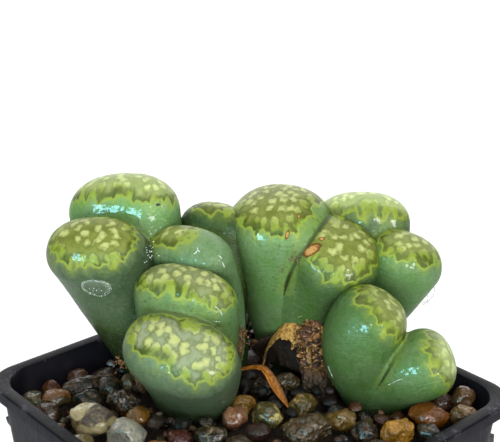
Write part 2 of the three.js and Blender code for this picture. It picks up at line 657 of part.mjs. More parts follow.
function place(name, solid, color, roughness) {
  const mesh = mainBody(solid).getMesh();
  const points = new Float32Array(mesh.numVert * 3);
  for (let i = 0; i < mesh.numVert; i++) {
    points.set(mesh.vertProperties.subarray(i * mesh.numProp, i * mesh.numProp + 3), i * 3);
  }
  const geometry = new THREE.BufferGeometry();
  geometry.setAttribute("position", new THREE.BufferAttribute(points, 3));
  geometry.setIndex(new THREE.BufferAttribute(mesh.triVerts, 1));
  const material = new THREE.MeshStandardMaterial({ color, roughness, metalness: 0 });
  const made = new THREE.Mesh(geometry, material);
  made.name = name;
  group.add(made);
}

// Each piece is cut back by the grown shapes of the pieces that were placed before it.
const takenShapes = [];
const clearOfTaken = (solid) => takenShapes.reduce((left, taken) => left.subtract(taken), solid);

place("pot", potSolid(), 0x23232c, 0.45);

for (const [name, head] of Object.entries(HEADS)) {
  place(name, clearOfTaken(headSolid(head)), 0x7fae84, 0.5);
  takenShapes.push(headSolid(head, CLEARANCE));
}
place("root_crown", clearOfTaken(crownSolid()), 0x8a6a48, 0.9);
takenShapes.push(crownSolid(CLEARANCE));

place("dry_sheath", clearOfTaken(drySheath()), 0x8a6a3e, 0.9);
place("dry_strip", clearOfTaken(dryStrip()), 0xb0682a, 0.7);
takenShapes.push(drySheath(CLEARANCE), dryStrip(CLEARANCE));
for (const [name, collar] of Object.entries(COLLARS)) {
  place(name, clearOfTaken(collarSolid(collar)), 0x7c5a34, 0.9);
  takenShapes.push(collarSolid(collar, CLEARANCE));
}

for (const name of Object.keys(PEBBLES)) {
  const kept = pebbleSolid(name).intersect(filling(0, POT_HEIGHT));
  place(name, clearOfTaken(kept), PEBBLES[name].color, 0.45);
  takenShapes.push(pebbleSolid(name, CLEARANCE));
}
place("grit", clearOfTaken(bedSolid()), 0x4a3c30, 0.7);
place("soil", clearOfTaken(filling(FLOOR + CLEARANCE, POT_HEIGHT + SOIL_TOP)), 0x3a2a1e, 0.95);

export default group;
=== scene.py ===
"""A clump of living stones in a square nursery pot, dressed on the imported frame.

Pieces are modelled in millimetres in the frame's own axes and brought to metres when they are
finished. The clump is laid out in its own frame: across, away from the pot's front corner, and above
the pot's rim, as seen from in front of that corner.
"""

import json
import logging
import math
from collections.abc import Callable, Sequence
from dataclasses import dataclass
from enum import Enum
from typing import Any, Union

import bpy
import numpy as np
from mathutils import Matrix, Vector, noise
from mathutils.bvhtree import BVHTree
from mathutils.geometry import convex_hull_2d

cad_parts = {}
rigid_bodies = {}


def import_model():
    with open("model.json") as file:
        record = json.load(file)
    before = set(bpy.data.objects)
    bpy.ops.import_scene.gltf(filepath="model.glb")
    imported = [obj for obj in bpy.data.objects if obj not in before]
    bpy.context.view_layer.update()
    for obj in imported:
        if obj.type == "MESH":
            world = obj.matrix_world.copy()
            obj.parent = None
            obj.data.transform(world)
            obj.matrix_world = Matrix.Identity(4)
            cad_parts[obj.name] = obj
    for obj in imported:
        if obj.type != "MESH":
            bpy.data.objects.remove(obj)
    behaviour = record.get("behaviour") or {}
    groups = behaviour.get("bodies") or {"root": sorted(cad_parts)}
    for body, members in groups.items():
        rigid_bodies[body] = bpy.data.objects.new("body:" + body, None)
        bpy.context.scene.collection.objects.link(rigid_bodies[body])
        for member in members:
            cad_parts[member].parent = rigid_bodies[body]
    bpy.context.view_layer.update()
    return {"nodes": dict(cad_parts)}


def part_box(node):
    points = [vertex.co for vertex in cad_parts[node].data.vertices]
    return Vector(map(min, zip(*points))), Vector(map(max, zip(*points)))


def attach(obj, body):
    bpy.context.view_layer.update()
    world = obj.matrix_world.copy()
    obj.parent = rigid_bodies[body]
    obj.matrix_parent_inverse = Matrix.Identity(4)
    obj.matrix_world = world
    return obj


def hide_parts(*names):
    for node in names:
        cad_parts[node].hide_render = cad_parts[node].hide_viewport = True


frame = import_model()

LOG = logging.getLogger("living_stones")
MM = 0.001
BODY = "root"
TINY = 1e-12
TOUCHING = 0.001
WEIGHT_STEPS = 20
NOISE_SHIFT = (7.3, 3.1, 5.7)
ROUND, FACETED = 180.0, 0.0

Piece, Material, Array = bpy.types.Object, bpy.types.Material, np.ndarray
Triple = tuple[float, float, float]
Color = tuple[float, float, float, float]

BLACK: Color = (0.0, 0.0, 0.0, 1.0)
WHITE: Color = (1.0, 1.0, 1.0, 1.0)


def srgb(red: float, green: float, blue: float) -> Color:
    """A display colour, from 0 to 255 a channel, as a linear colour."""
    shares = (value / 255 for value in (red, green, blue))
    return (*(v / 12.92 if v <= 0.04045 else ((v + 0.055) / 1.055) ** 2.4 for v in shares), 1.0)


def unit(vectors: Array) -> Array:
    """The vectors at unit length."""
    return vectors / np.maximum(np.linalg.norm(vectors, axis=-1, keepdims=True), TINY)


def square_to(direction: Array, axis: Array) -> Array:
    """The part of a direction that is square to an axis, at unit length."""
    return unit(direction - axis * np.sum(direction * axis, axis=-1, keepdims=True))


def soft_step(values: Array, low: float, high: float) -> Array:
    """0 up to low and 1 from high on, with a smooth rise between."""
    share = np.clip((values - low) / (high - low), 0, 1)
    return share * share * (3 - 2 * share)


# Layout


@dataclass(frozen=True)
class Layout:
    """The clump's frame in the pot's frame.

    Attributes:
        turn_deg: The turn of the clump's frame about the vertical.
        rim: The height of the pot's rim in millimetres.
    """

    turn_deg: float = 47.6
    rim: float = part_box("pot")[1].z / MM

    def level(self, heading_deg: float) -> Array:
        """A level direction at a heading: 0 is to the right, 90 is away."""
        turn = math.radians(heading_deg + self.turn_deg)
        return np.array([math.cos(turn), math.sin(turn), 0.0])

    def point(self, place: Sequence[float]) -> Array:
        """A point of the clump's frame, in the pot's frame."""
        across, away, up = place
        return across * self.level(0) + away * self.level(90) + np.array([0, 0, up + self.rim])

    def points(self, places: Sequence[Sequence[float]]) -> Array:
        """Points of the clump's frame as rows, in the pot's frame."""
        return np.array([self.point(place) for place in places])

    def leaning(self, lean_deg: float, heading_deg: float) -> Array:
        """A direction that leans from the vertical towards a heading."""
        lean = math.radians(lean_deg)
        return self.level(heading_deg) * math.sin(lean) + np.array([0, 0, math.cos(lean)])


LAYOUT = Layout()


# Mesh work


def place_new(name: str, data: bpy.types.ID) -> Piece:
    """Puts a new object in the scene.

    Args:
        name: Its name.
        data: Its mesh, camera or light.

    Returns:
        The object.
    """
    made = bpy.data.objects.new(name, data)
    bpy.context.scene.collection.objects.link(made)
    return made


def pick(*pieces: Piece) -> None:
    """Selects pieces and nothing else, and makes the first of them active.

    Args:
        pieces: The pieces, if any.
    """
    for each in bpy.context.view_layer.objects:
        each.select_set(each in pieces)
    bpy.context.view_layer.objects.active = pieces[0] if pieces else None


def add_primitive(name: str, operator: Callable[..., Any], **settings: Any) -> Piece:
    """Adds a primitive and names it.

    Args:
        name: The new object's name.
        operator: The operator that adds it.
        settings: The operator's settings.

    Returns:
        The new object, selected and active.
    """
    pick()
    operator(**settings)
    piece = bpy.context.view_layer.objects.active
    piece.name = piece.data.name = name
    return piece


def rows_of(source: Any, key: str) -> Array:
    """Reads three numbers for each vertex.

    Args:
        source: The mesh's vertices or their normals.
        key: What is read of each.

    Returns:
        Rows of three numbers.
    """
    flat = np.empty(len(source) * 3, np.float32)
    source.foreach_get(key, flat)
    return flat.reshape(-1, 3).astype(np.float64)


def points_of(piece: Piece) -> Array:
    """The vertices of a piece as rows of three numbers."""
    return rows_of(piece.data.vertices, "co")


def normals_of(piece: Piece) -> Array:
    """The vertex normals of a piece as rows of three numbers."""
    return rows_of(piece.data.vertex_normals, "vector")


def set_points(piece: Piece, points: Array) -> None:
    """Moves the vertices of a piece."""
    piece.data.vertices.foreach_set("co", np.ascontiguousarray(points, np.float32).ravel())
    piece.data.update()


def ball_form(subdivisions: int) -> tuple[Array, Array]:
    """The form that small bits start from, a ball of triangles.

    Args:
        subdivisions: How fine it is.

    Returns:
        Its points and its faces.
    """
    ball = add_primitive("ball", bpy.ops.mesh.primitive_ico_sphere_add, subdivisions=subdivisions, radius=1.0)
    points = points_of(ball)
    faces = np.array([face.vertices[:] for face in ball.data.polygons])
    bpy.data.objects.remove(ball)
    return points, faces


def turn_to(direction: Array) -> Array:
    """The rotation that brings the vertical to a direction."""
    return np.array(Vector(direction).to_track_quat("Z", "Y").to_matrix())


def swarm(name: str, forms: Sequence[Array], faces: Array) -> Piece:
    """Makes one piece of many bits.

    Args:
        name: The piece's name.
        forms: The points of each bit.
        faces: The faces that every bit has.

    Returns:
        The piece.
    """
    steps = np.arange(len(forms)) * len(forms[0])
    rows = (faces[None] + steps[:, None, None]).reshape(-1, faces.shape[1])
    mesh = bpy.data.meshes.new(name)
    mesh.from_pydata(np.concatenate(forms).tolist(), [], rows.tolist())
    return place_new(name, mesh)


def apply_modifier(piece: Piece, kind: str, **settings: Any) -> None:
    """Adds a modifier to a piece and applies it.

    Args:
        piece: The piece.
        kind: The modifier's type.
        settings: Its settings.
    """
    pick(piece)
    modifier = piece.modifiers.new(kind.lower(), kind)
    for key, value in settings.items():
        setattr(modifier, key, value)
    bpy.ops.object.modifier_apply(modifier=modifier.name)


def smooth_out(piece: Piece, times: int, group: str = "") -> None:
    """Evens a piece out a number of times, by the weights of a vertex group if one is named."""
    apply_modifier(piece, "SMOOTH", factor=0.5, iterations=times, vertex_group=group)


def in_edit_mode(piece: Piece, work: Callable[[], Any]) -> None:
    """Runs operators on all of a piece in edit mode.

    Args:
        piece: The piece.
        work: What runs them.
    """
    pick(piece)
    bpy.ops.object.mode_set(mode="EDIT")
    bpy.ops.mesh.select_all(action="SELECT")
    work()
    bpy.ops.object.mode_set(mode="OBJECT")


def merge_touching(piece: Piece) -> None:
    """Merges the points of a piece that touch."""
    in_edit_mode(piece, lambda: bpy.ops.mesh.remove_doubles(threshold=TOUCHING))


def write_attribute(piece: Piece, name: str, values: Array) -> None:
    """Stores a number, a vector or a colour at each vertex of a piece.

    Args:
        piece: The piece.
        name: The attribute's name.
        values: A number, or a row of three or four numbers, for each vertex.
    """
    width = 1 if values.ndim == 1 else values.shape[1]
    kind, key = {1: ("FLOAT", "value"), 3: ("FLOAT_VECTOR", "vector"), 4: ("FLOAT_COLOR", "color")}[width]
    attribute = piece.data.attributes.new(name, kind, "POINT")
    attribute.data.foreach_set(key, np.ascontiguousarray(values, np.float32).ravel())


def weight_group(piece: Piece, name: str, weights: Array) -> None:
    """Stores weights as a vertex group, rounded to steps.

    Args:
        piece: The piece.
        name: The group's name.
        weights: A number from 0 to 1 for each vertex.
    """
    group = piece.vertex_groups.new(name=name)
    steps = np.round(np.clip(weights, 0, 1) * WEIGHT_STEPS).astype(int)
    for step in range(1, WEIGHT_STEPS + 1):
        group.add(np.nonzero(steps == step)[0].tolist(), step / WEIGHT_STEPS, "REPLACE")


def rough(points: Array, rate: float, shift: float, octaves: int = 3) -> Array:
    """Fractal noise at points, about from -1 to 1.

    Args:
        points: Rows of three numbers.
        rate: Bumps for each millimetre.
        shift: Moves the noise, so that pieces differ.
        octaves: How many finer layers are added.

    Returns:
        One value for each point.
    """
    offset = Vector([shift * step for step in NOISE_SHIFT])
    return np.array([noise.fractal(Vector(p) * rate + offset, 1.0, 2.0, octaves) for p in points])


def finish(
    piece: Piece, material: Material, replaces: Sequence[str] = (), edge_deg: float = ROUND
) -> Piece:
    """Brings a piece to metres, dresses it and puts it on the frame.

    Args:
        piece: The piece, modelled in millimetres.
        material: Its finish.
        replaces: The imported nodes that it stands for.
        edge_deg: The angle from which its edges look sharp: ROUND for none of them, FACETED for all.

    Returns:
        The piece.
    """
    set_points(piece, points_of(piece) * MM)
    if edge_deg == ROUND:
        piece.data.shade_smooth()
    elif edge_deg != FACETED:
        pick(piece)
        bpy.ops.object.shade_smooth_by_angle(angle=math.radians(edge_deg))
    piece.data.materials.clear()
    piece.data.materials.append(material)
    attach(piece, BODY)
    if replaces:
        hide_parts(*replaces)
    LOG.info("%s: %d faces", piece.name, len(piece.data.polygons))
    return piece


def grown_from(node: str, name: str, voxel: float, settle: int) -> Piece:
    """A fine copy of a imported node: merged, remeshed and worn smooth.

    Args:
        node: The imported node.
        name: The new piece's name.
        voxel: The size of its faces in millimetres.
        settle: How many times it is smoothed.

    Returns:
        The new piece, in millimetres.
    """
    piece = place_new(name, frame["nodes"][node].data.copy())
    piece.data.name = name
    set_points(piece, points_of(piece) / MM)
    merge_touching(piece)
    apply_modifier(piece, "REMESH", mode="VOXEL", voxel_size=voxel, use_smooth_shade=True)
    smooth_out(piece, settle)
    return piece


# Shader expressions


Feed = Union["Signal", float, Color, Triple, None]


class Signal:
    """A socket of a material that can be used in arithmetic."""

    def __init__(self, shader: "Shader", socket: bpy.types.NodeSocket) -> None:
        """Wraps a socket."""
        self.shader = shader
        self.socket = socket

    def _math(self, operation: str, *operands: Feed) -> "Signal":
        """Adds a Math node."""
        return self.shader.node("ShaderNodeMath", {"operation": operation}, dict(enumerate(operands)))

    def __add__(self, other: Feed) -> "Signal":
        """The sum."""
        return self._math("ADD", self, other)

    __radd__ = __add__

    def __sub__(self, other: Feed) -> "Signal":
        """The difference."""
        return self._math("SUBTRACT", self, other)

    def __rsub__(self, other: Feed) -> "Signal":
        """The difference, from the right."""
        return self._math("SUBTRACT", other, self)

    def __mul__(self, other: Feed) -> "Signal":
        """The product."""
        return self._math("MULTIPLY", self, other)

    __rmul__ = __mul__

    def step(self, low: Feed, high: Feed) -> "Signal":
        """0 up to low and 1 from high on, with a smooth rise between; falls where low is above high."""
        inputs = {"Value": self, "From Min": low, "From Max": high}
        return self.shader.node("ShaderNodeMapRange", {"interpolation_type": "SMOOTHSTEP"}, inputs)

    def larger(self, other: Feed) -> "Signal":
        """The larger of two values."""
        return self._math("MAXIMUM", self, other)

    def lifted(self, other: Feed) -> "Signal":
        """Covers with another mask: the share that either of the two covers."""
        return 1.0 - (1.0 - self) * (1.0 - other)


class Shader:
    """A node tree under construction, whose sockets are handled as expressions."""

    def __init__(self, owner: Material | bpy.types.World) -> None:
        """Starts an empty tree.

        Args:
            owner: The material or world that it belongs to.
        """
        self.owner = owner
        owner.use_nodes = True
        self.tree = owner.node_tree
        self.tree.nodes.clear()

    @classmethod
    def of_material(cls, name: str) -> "Shader":
        """Starts a new material."""
        return cls(bpy.data.materials.new(name))

    def node(
        self,
        kind: str,
        settings: dict[str, Any] | None = None,
        inputs: dict[str | int, Feed] | None = None,
        output: str | int = 0,
    ) -> Signal:
        """Adds a node.

        Args:
            kind: The node's type.
            settings: Its properties, set first.
            inputs: The values or links of its sockets. None leaves a socket as it is.
            output: The output to hand back.

        Returns:
            The chosen output.
        """
        made = self.tree.nodes.new(kind)
        for key, value in (settings or {}).items():
            setattr(made, key, value)
        for key, value in (inputs or {}).items():
            if isinstance(value, Signal):
                self.tree.links.new(value.socket, made.inputs[key])
            elif value is not None:
                made.inputs[key].default_value = value
        return Signal(self, made.outputs[output])

    def attribute(self, name: str, output: str = "Vector") -> Signal:
        """A stored attribute of the mesh."""
        return self.node("ShaderNodeAttribute", {"attribute_name": name}, output=output)

    def position(self) -> Signal:
        """The place on the object, in millimetres."""
        coordinates = self.node("ShaderNodeTexCoord", output="Object")
        return self.vector("SCALE", coordinates, scale=1 / MM)

    def vector(self, operation: str, first: Feed, second: Feed = None, scale: Feed = None) -> Signal:
        """Adds a Vector Math node."""
        inputs = {0: first, 1: second, "Scale": scale}
        return self.node("ShaderNodeVectorMath", {"operation": operation}, inputs)

    def parts(self, vector: Signal) -> tuple[Signal, Signal, Signal]:
        """The three numbers of a vector."""
        split = self.node("ShaderNodeSeparateXYZ", inputs={0: vector}).socket.node
        return tuple(Signal(self, out) for out in split.outputs)

    def combined(self, x: Feed, y: Feed, z: Feed) -> Signal:
        """A vector from three numbers."""
        return self.node("ShaderNodeCombineXYZ", inputs={0: x, 1: y, 2: z})

    def mix(self, share: Feed, first: Feed, second: Feed, blend: str = "MIX") -> Signal:
        """A blend of two colours."""
        settings = {"data_type": "RGBA", "blend_type": blend, "clamp_factor": True}
        return self.node("ShaderNodeMix", settings, {0: share, 6: first, 7: second}, output=2)

    def noise(self, vector: Feed, rate: float, detail: float = 2.0, roughness: float = 0.5) -> Signal:
        """Noise around one half.

        Args:
            vector: Where it is read, in millimetres.
            rate: Bumps for each millimetre.
            detail: How many finer layers are added.
            roughness: The strength of each finer layer.

        Returns:
            The noise, mostly from 0.3 to 0.7.
        """
        inputs = {"Vector": vector, "Scale": rate, "Detail": detail, "Roughness": roughness}
        return self.node("ShaderNodeTexNoise", inputs=inputs)

    def wander(self, vector: Signal, rate: float, reach: float) -> Signal:
        """A place moved by noise.

        Args:
            vector: The place, in millimetres.
            rate: Bends for each millimetre.
            reach: About twice as far as it is moved each way.

        Returns:
            The moved place.
        """
        inputs = {"Vector": vector, "Scale": rate, "Detail": 2.0}
        drift = self.node("ShaderNodeTexNoise", inputs=inputs, output=1)
        centred = self.vector("SUBTRACT", drift, (0.5, 0.5, 0.5))
        return self.vector("ADD", vector, self.vector("SCALE", centred, scale=reach))

    def cells(
        self, vector: Feed, rate: float, feature: str = "F1", dimensions: str = "3D", **inputs: float
    ) -> Signal:
        """A pattern of cells.

        Args:
            vector: Where it is read, in millimetres.
            rate: Cells for each millimetre.
            feature: What is measured, such as the distance to the nearest point or edge.
            dimensions: Whether the cells lie in a plane or in space.
            inputs: The values of its other sockets.

        Returns:
            The distance.
        """
        settings = {"feature": feature, "voronoi_dimensions": dimensions}
        sockets = {"Vector": vector, "Scale": rate, **inputs}
        return self.node("ShaderNodeTexVoronoi", settings, sockets, "Distance")

    def bump(self, height: Signal, depth: float, strength: float = 1.0) -> Signal:
        """A normal bent by a height, where 1 stands for a depth in millimetres."""
        inputs = {"Height": height, "Distance": depth * MM, "Strength": strength}
        return self.node("ShaderNodeBump", inputs=inputs)

    def close(self, **sockets: Feed) -> Material:
        """Ends the material in a Principled shader.

        Args:
            sockets: Values or links, named as the shader's sockets with _ for a space.

        Returns:
            The material.
        """
        inputs = {key.replace("_", " "): value for key, value in sockets.items()}
        surface = self.node("ShaderNodeBsdfPrincipled", inputs=inputs)
        end = self.tree.nodes.new("ShaderNodeOutputMaterial")
        self.tree.links.new(surface.socket, end.inputs["Surface"])
        return self.owner


# Heads


# Depths and radii are in millimetres, the rest are shares of a leaf's course or of its size.
CROWN_DEPTH = -13.0
CROWN_RADIUS = 3.2
CROWN_RUN = 0.38
CAP_RUN = 0.35
SWELL = 0.75
SECTION_ROUNDNESS = 2 / 2.25
DOME_ROUNDNESS = 0.82
LEAF_START = 2 / 7
CREASE_LENGTH = 0.88
BODY_LENGTH = 1.04
BODY_COVER = 1.04
CREASE_START = 0.5
POLE_RISE = 1.0
NO_SLIT = (9.0, 9.1, 9.2, 9.3)


@dataclass(frozen=True)
class Leaf:
    """One leaf of a head, in the clump's frame.

    Attributes:
        cap: The middle of the leaf at its widest.
        lean: The lean of its face from level, in degrees.
        toward: The heading of that lean.
        along: The heading of the fissure.
        side: The side of the fissure that it lies on, 1 or -1.
        size: Half length along the fissure, half width outward and inward, height of the dome.
        margin: The polar angle of the face's edge at eight headings: 0 along the fissure, 90 outward.
        islands: The share of pale islands on the face, from 0 to 1.
        bloom: How pale and blue the shoulder is, from 0 to 1.
        tone: The brightness of its shoulder, partly its own and partly painted light and shade.
        shade_top: Where painted shade starts to darken its body downward, in millimetres above the rim.
        painted_sheen: The share of painted sheen over its face, a pale haze that stands for glancing light.
    """

    cap: Triple
    lean: float
    toward: float
    along: float
    side: int
    size: tuple[float, float, float, float]
    margin: tuple[float, ...]
    islands: float = 0.5
    bloom: float = 0.3
    tone: float = 1.0
    shade_top: float = -2.0
    painted_sheen: float = 0.0


@dataclass(frozen=True)
class Scar:
    """A corky scar on a leaf.

    Attributes:
        leaf: The index of the leaf in its head.
        heading: Its heading on the face in degrees, 0 along the fissure and 90 outward.
        angle: Its polar angle on the dome in degrees.
        reach: Half its length and half its width in millimetres.
        turn: The turn of its length from the heading's direction, in degrees.
    """

    leaf: int
    heading: float
    angle: float
    reach: tuple[float, float]
    turn: float = 0.0


class Course:
    """The course of a leaf from the crown to its cap."""

    def __init__(self, foot: Sequence[float], rise: Array, leaf: Leaf) -> None:
        """Lays the course out.

        Args:
            foot: Where the head leaves the crown, across and away.
            rise: The direction in which it leaves.
            leaf: The leaf.
        """
        self.leaf = leaf
        self.cap = LAYOUT.point(leaf.cap)
        self.normal = LAYOUT.leaning(leaf.lean, leaf.toward)
        self.heading = LAYOUT.level(leaf.along)
        self.along = square_to(self.heading, self.normal)
        self.out = np.cross(self.normal, self.along) * leaf.side
        start = LAYOUT.point((*foot, CROWN_DEPTH))
        reach = np.linalg.norm(self.cap - start)
        lower = start + rise * reach * CROWN_RUN
        upper = self.cap - self.normal * reach * CAP_RUN
        self.knots = np.array([start, lower, upper, self.cap])

    def at(self, v: Array) -> Array:
        """Points at shares of the way."""
        w = 1 - v
        return np.stack([w**3, 3 * w * w * v, 3 * w * v * v, v**3], axis=-1) @ self.knots

    def tangent(self, v: Array) -> Array:
        """Directions at shares of the way."""
        w = 1 - v
        return unit(np.stack([w * w, 2 * w * v, v * v], axis=-1) @ np.diff(self.knots, axis=0))

    def length_axis(self, v: Array) -> Array:
        """The direction of the section's length at shares of the way."""
        blend = self.heading + (self.along - self.heading) * v[:, None]
        return square_to(blend, self.tangent(v))

    def dome_place(self, points: Array) -> tuple[Array, Array, Array]:
        """Where points lie on the dome.

        Args:
            points: Rows of three numbers.

        Returns:
            The polar angle from the top, the heading round the face, and how far out the point lies,
            where 1 is the dome's surface.
        """
        half_length, half_out, half_in, dome = self.leaf.size
        offset = points - self.cap
        along, out, up = (offset @ axis for axis in (self.along, self.out, self.normal))
        level = np.stack([along / half_length, out / np.where(out > 0, half_out, half_in)], axis=-1)
        lateral = np.linalg.norm(level, axis=-1)
        polar = np.arctan2(lateral, up / dome)
        return polar, np.arctan2(level[:, 1], level[:, 0]), np.hypot(lateral, up / dome)


class Sphere:
    """A round primitive whose rows of points are laid over another form."""

    def __init__(self, name: str, around: int, rows: int) -> None:
        """Adds the primitive.

        Args:
            name: The object's name.
            around: Points in a row.
            rows: Rows from pole to pole.
        """
        self.piece = add_primitive(
            name, bpy.ops.mesh.primitive_uv_sphere_add, segments=around, ring_count=rows, radius=1.0
        )
        points = points_of(self.piece)
        self.share = np.arcsin(np.clip(points[:, 2], -1, 1)) / math.pi + 0.5
        self.angle = np.arctan2(points[:, 1], points[:, 0])
        self.row = 1 / rows

    def opening(self, both_ends: bool) -> Array:
        """0 at the first pole, and at the last if asked, and 1 on every row between."""
        grown = np.clip(self.share / self.row, 0, 1)
        return grown * np.clip((1 - self.share) / self.row, 0, 1) if both_ends else grown


def section(angle: Array) -> tuple[Array, Array]:
    """The full oval's shares of half length and half width at angles round it."""
    full = [np.sign(v) * np.abs(v) ** SECTION_ROUNDNESS for v in (np.cos(angle), np.sin(angle))]
    return full[0], full[1]


@dataclass(frozen=True)
class Head:
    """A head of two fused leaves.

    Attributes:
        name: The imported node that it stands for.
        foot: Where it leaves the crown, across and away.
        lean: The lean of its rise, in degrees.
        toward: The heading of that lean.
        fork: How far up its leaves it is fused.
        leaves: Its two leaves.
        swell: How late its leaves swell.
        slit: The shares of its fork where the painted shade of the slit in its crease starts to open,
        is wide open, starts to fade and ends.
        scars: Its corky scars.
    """

    name: str
    foot: tuple[float, float]
    lean: float
    toward: float
    fork: float
    leaves: tuple[Leaf, Leaf]
    swell: float = SWELL
    slit: tuple[float, float, float, float] = NO_SLIT
    scars: tuple[Scar, ...] = ()

    AROUND = 96
    ROWS = 72
    POLE = ROWS**-2
    CAP_ROW = 0.62
    VOXEL = 0.3
    WAY_STEPS = 65
    PARTING = (0.97, 1.1)
    MELTING = 80
    SETTLING = 4
    EDGE_HEADINGS = np.radians(np.arange(0, 361, 45))
    FACE_SPREAD = 0.9
    PATTERN_STEPS = (31.0, 7.0)
    SHADE_RUN = 8.0
    SLIT_REACH = (0.02, 0.055)
    WATER_EDGE = 1.3

    def courses(self) -> list[Course]:
        """The courses of its two leaves."""
        rise = LAYOUT.leaning(self.lean, self.toward)
        return [Course(self.foot, rise, leaf) for leaf in self.leaves]

    def swollen(self, full: float, v: Array) -> Array:
        """A half width on the way from the crown's radius to its full size."""
        return CROWN_RADIUS + (full - CROWN_RADIUS) * np.sin(math.pi / 2 * v) ** self.swell

    def leaf_form(self, course: Course, name: str) -> Piece:
        """Forms one leaf, a stout lobe that swells and ends in a domed face.

        Args:
            course: The leaf's course.
            name: The lobe's name.

        Returns:
            The lobe.
        """
        sphere = Sphere(name, self.AROUND, self.ROWS)
        half_length, half_out, half_in, dome = course.leaf.size
        rise = np.clip(sphere.share / self.CAP_ROW, 0, 1)
        v = LEAF_START + (1 - LEAF_START) * rise
        climb = np.clip((sphere.share - self.CAP_ROW) / (1 - self.CAP_ROW), 0, 1) * math.pi / 2
        closing = np.maximum(np.cos(climb), 0) ** DOME_ROUNDNESS * sphere.opening(False)
        along, across = section(sphere.angle)
        wide = np.where(across > 0, self.swollen(half_out, v), self.swollen(half_in, v))
        length_axis = course.length_axis(v)
        out_axis = np.cross(course.tangent(v), length_axis) * course.leaf.side
        points = course.at(v)
        points = points + length_axis * (self.swollen(half_length, v) * along * closing)[:, None]
        points = points + out_axis * (wide * across * closing)[:, None]
        set_points(sphere.piece, points + course.normal * (dome * np.sin(climb))[:, None])
        return sphere.piece

    def body_form(self, name: str) -> Piece:
        """Forms the fused lower body, which narrows at the fork until it only fills the crease.

        Args:
            name: The body's name.

        Returns:
            The body.
        """
        sphere = Sphere(name, self.AROUND, self.ROWS // 2)
        v = self.fork * sphere.share
        first, second = self.courses()
        at_first, at_second = first.at(v), second.at(v)
        tangent = unit(first.tangent(v) + second.tangent(v))
        length_axis = square_to(first.length_axis(v) + second.length_axis(v), tangent)
        hold = 1 - soft_step(sphere.share, CREASE_START, 1)
        covered = CREASE_LENGTH + (BODY_LENGTH - CREASE_LENGTH) * hold
        longest = max(leaf.size[0] for leaf in self.leaves)
        apart = np.linalg.norm(at_first - at_second, axis=-1) / 2
        halves = []
        for leaf, sister in zip(self.leaves, reversed(self.leaves)):
            inner = self.swollen(sister.size[2], v) - 2 * apart
            held = np.maximum(self.swollen(leaf.size[1], v), inner)
            halves.append(apart + held * BODY_COVER * hold)
        if self.leaves[0].side < 0:
            halves.reverse()
        along, across = section(sphere.angle)
        opening = sphere.opening(True)
        wide = np.where(across > 0, halves[0], halves[1])
        points = (at_first + at_second) / 2
        points = points + length_axis * (self.swollen(longest, v) * covered * along * opening)[:, None]
        points = points + np.cross(tangent, length_axis) * (wide * across * opening)[:, None]
        points[sphere.share < self.POLE] += LAYOUT.leaning(self.lean, self.toward) * -POLE_RISE
        points[sphere.share > 1 - self.POLE] += np.array([0, 0, POLE_RISE])
        set_points(sphere.piece, points)
        return sphere.piece

    def build(self) -> Piece:
        """Fuses the leaves and the body, melts their seams and stores what the skin needs.

        Returns:
            The head, in millimetres.
        """
        parts = [self.leaf_form(course, f"{self.name}_leaf") for course in self.courses()]
        parts.append(self.body_form(f"{self.name}_body"))
        pick(*parts)
        bpy.ops.object.join()
        piece = parts[0]
        piece.name = piece.data.name = f"{self.name}_skin"
        apply_modifier(piece, "REMESH", mode="VOXEL", voxel_size=self.VOXEL, use_smooth_shade=True)
        self.melt(piece)
        self.mark(piece)
        return piece

    def way_up(self, points: Array) -> Array:
        """How far up the head points lie.

        Args:
            points: The points.

        Returns:
            Shares of the course midway between the two.
        """
        way = np.linspace(0, 1, self.WAY_STEPS)
        first, second = (course.at(way) for course in self.courses())
        middle = (first + second) / 2
        return way[np.argmin(((points[:, None] - middle[None]) ** 2).sum(axis=-1), axis=1)]

    def melt(self, piece: Piece) -> None:
        """Smooths the head, most of all below the fork, where its leaves have grown together.

        Args:
            piece: The head.
        """
        start, end = self.PARTING
        parted = soft_step(self.way_up(points_of(piece)), self.fork * start, self.fork * end)
        weight_group(piece, "fused", 1 - parted)
        smooth_out(piece, self.MELTING, "fused")
        smooth_out(piece, self.SETTLING)

    def mark(self, piece: Piece) -> None:
        """Stores what the skin reads at each point.

        Args:
            piece: The head.
        """
        points = points_of(piece)
        places = [course.dome_place(points) for course in self.courses()]
        owner = places[1][2] < places[0][2]
        apart = np.abs(places[1][2] - places[0][2])
        first, second = (self.face_marks(points, index, place) for index, place in enumerate(places))
        marks = {
            name: np.where(owner if own.ndim == 1 else owner[:, None], second[name], own)
            for name, own in first.items()
        }
        marks["scar"] = self.scar_mark(places, owner)
        marks["wet"] = self.wet_mark(points)
        marks |= self.crease_marks(piece, apart, self.way_up(points) / self.fork)
        for name, values in marks.items():
            write_attribute(piece, name, values)

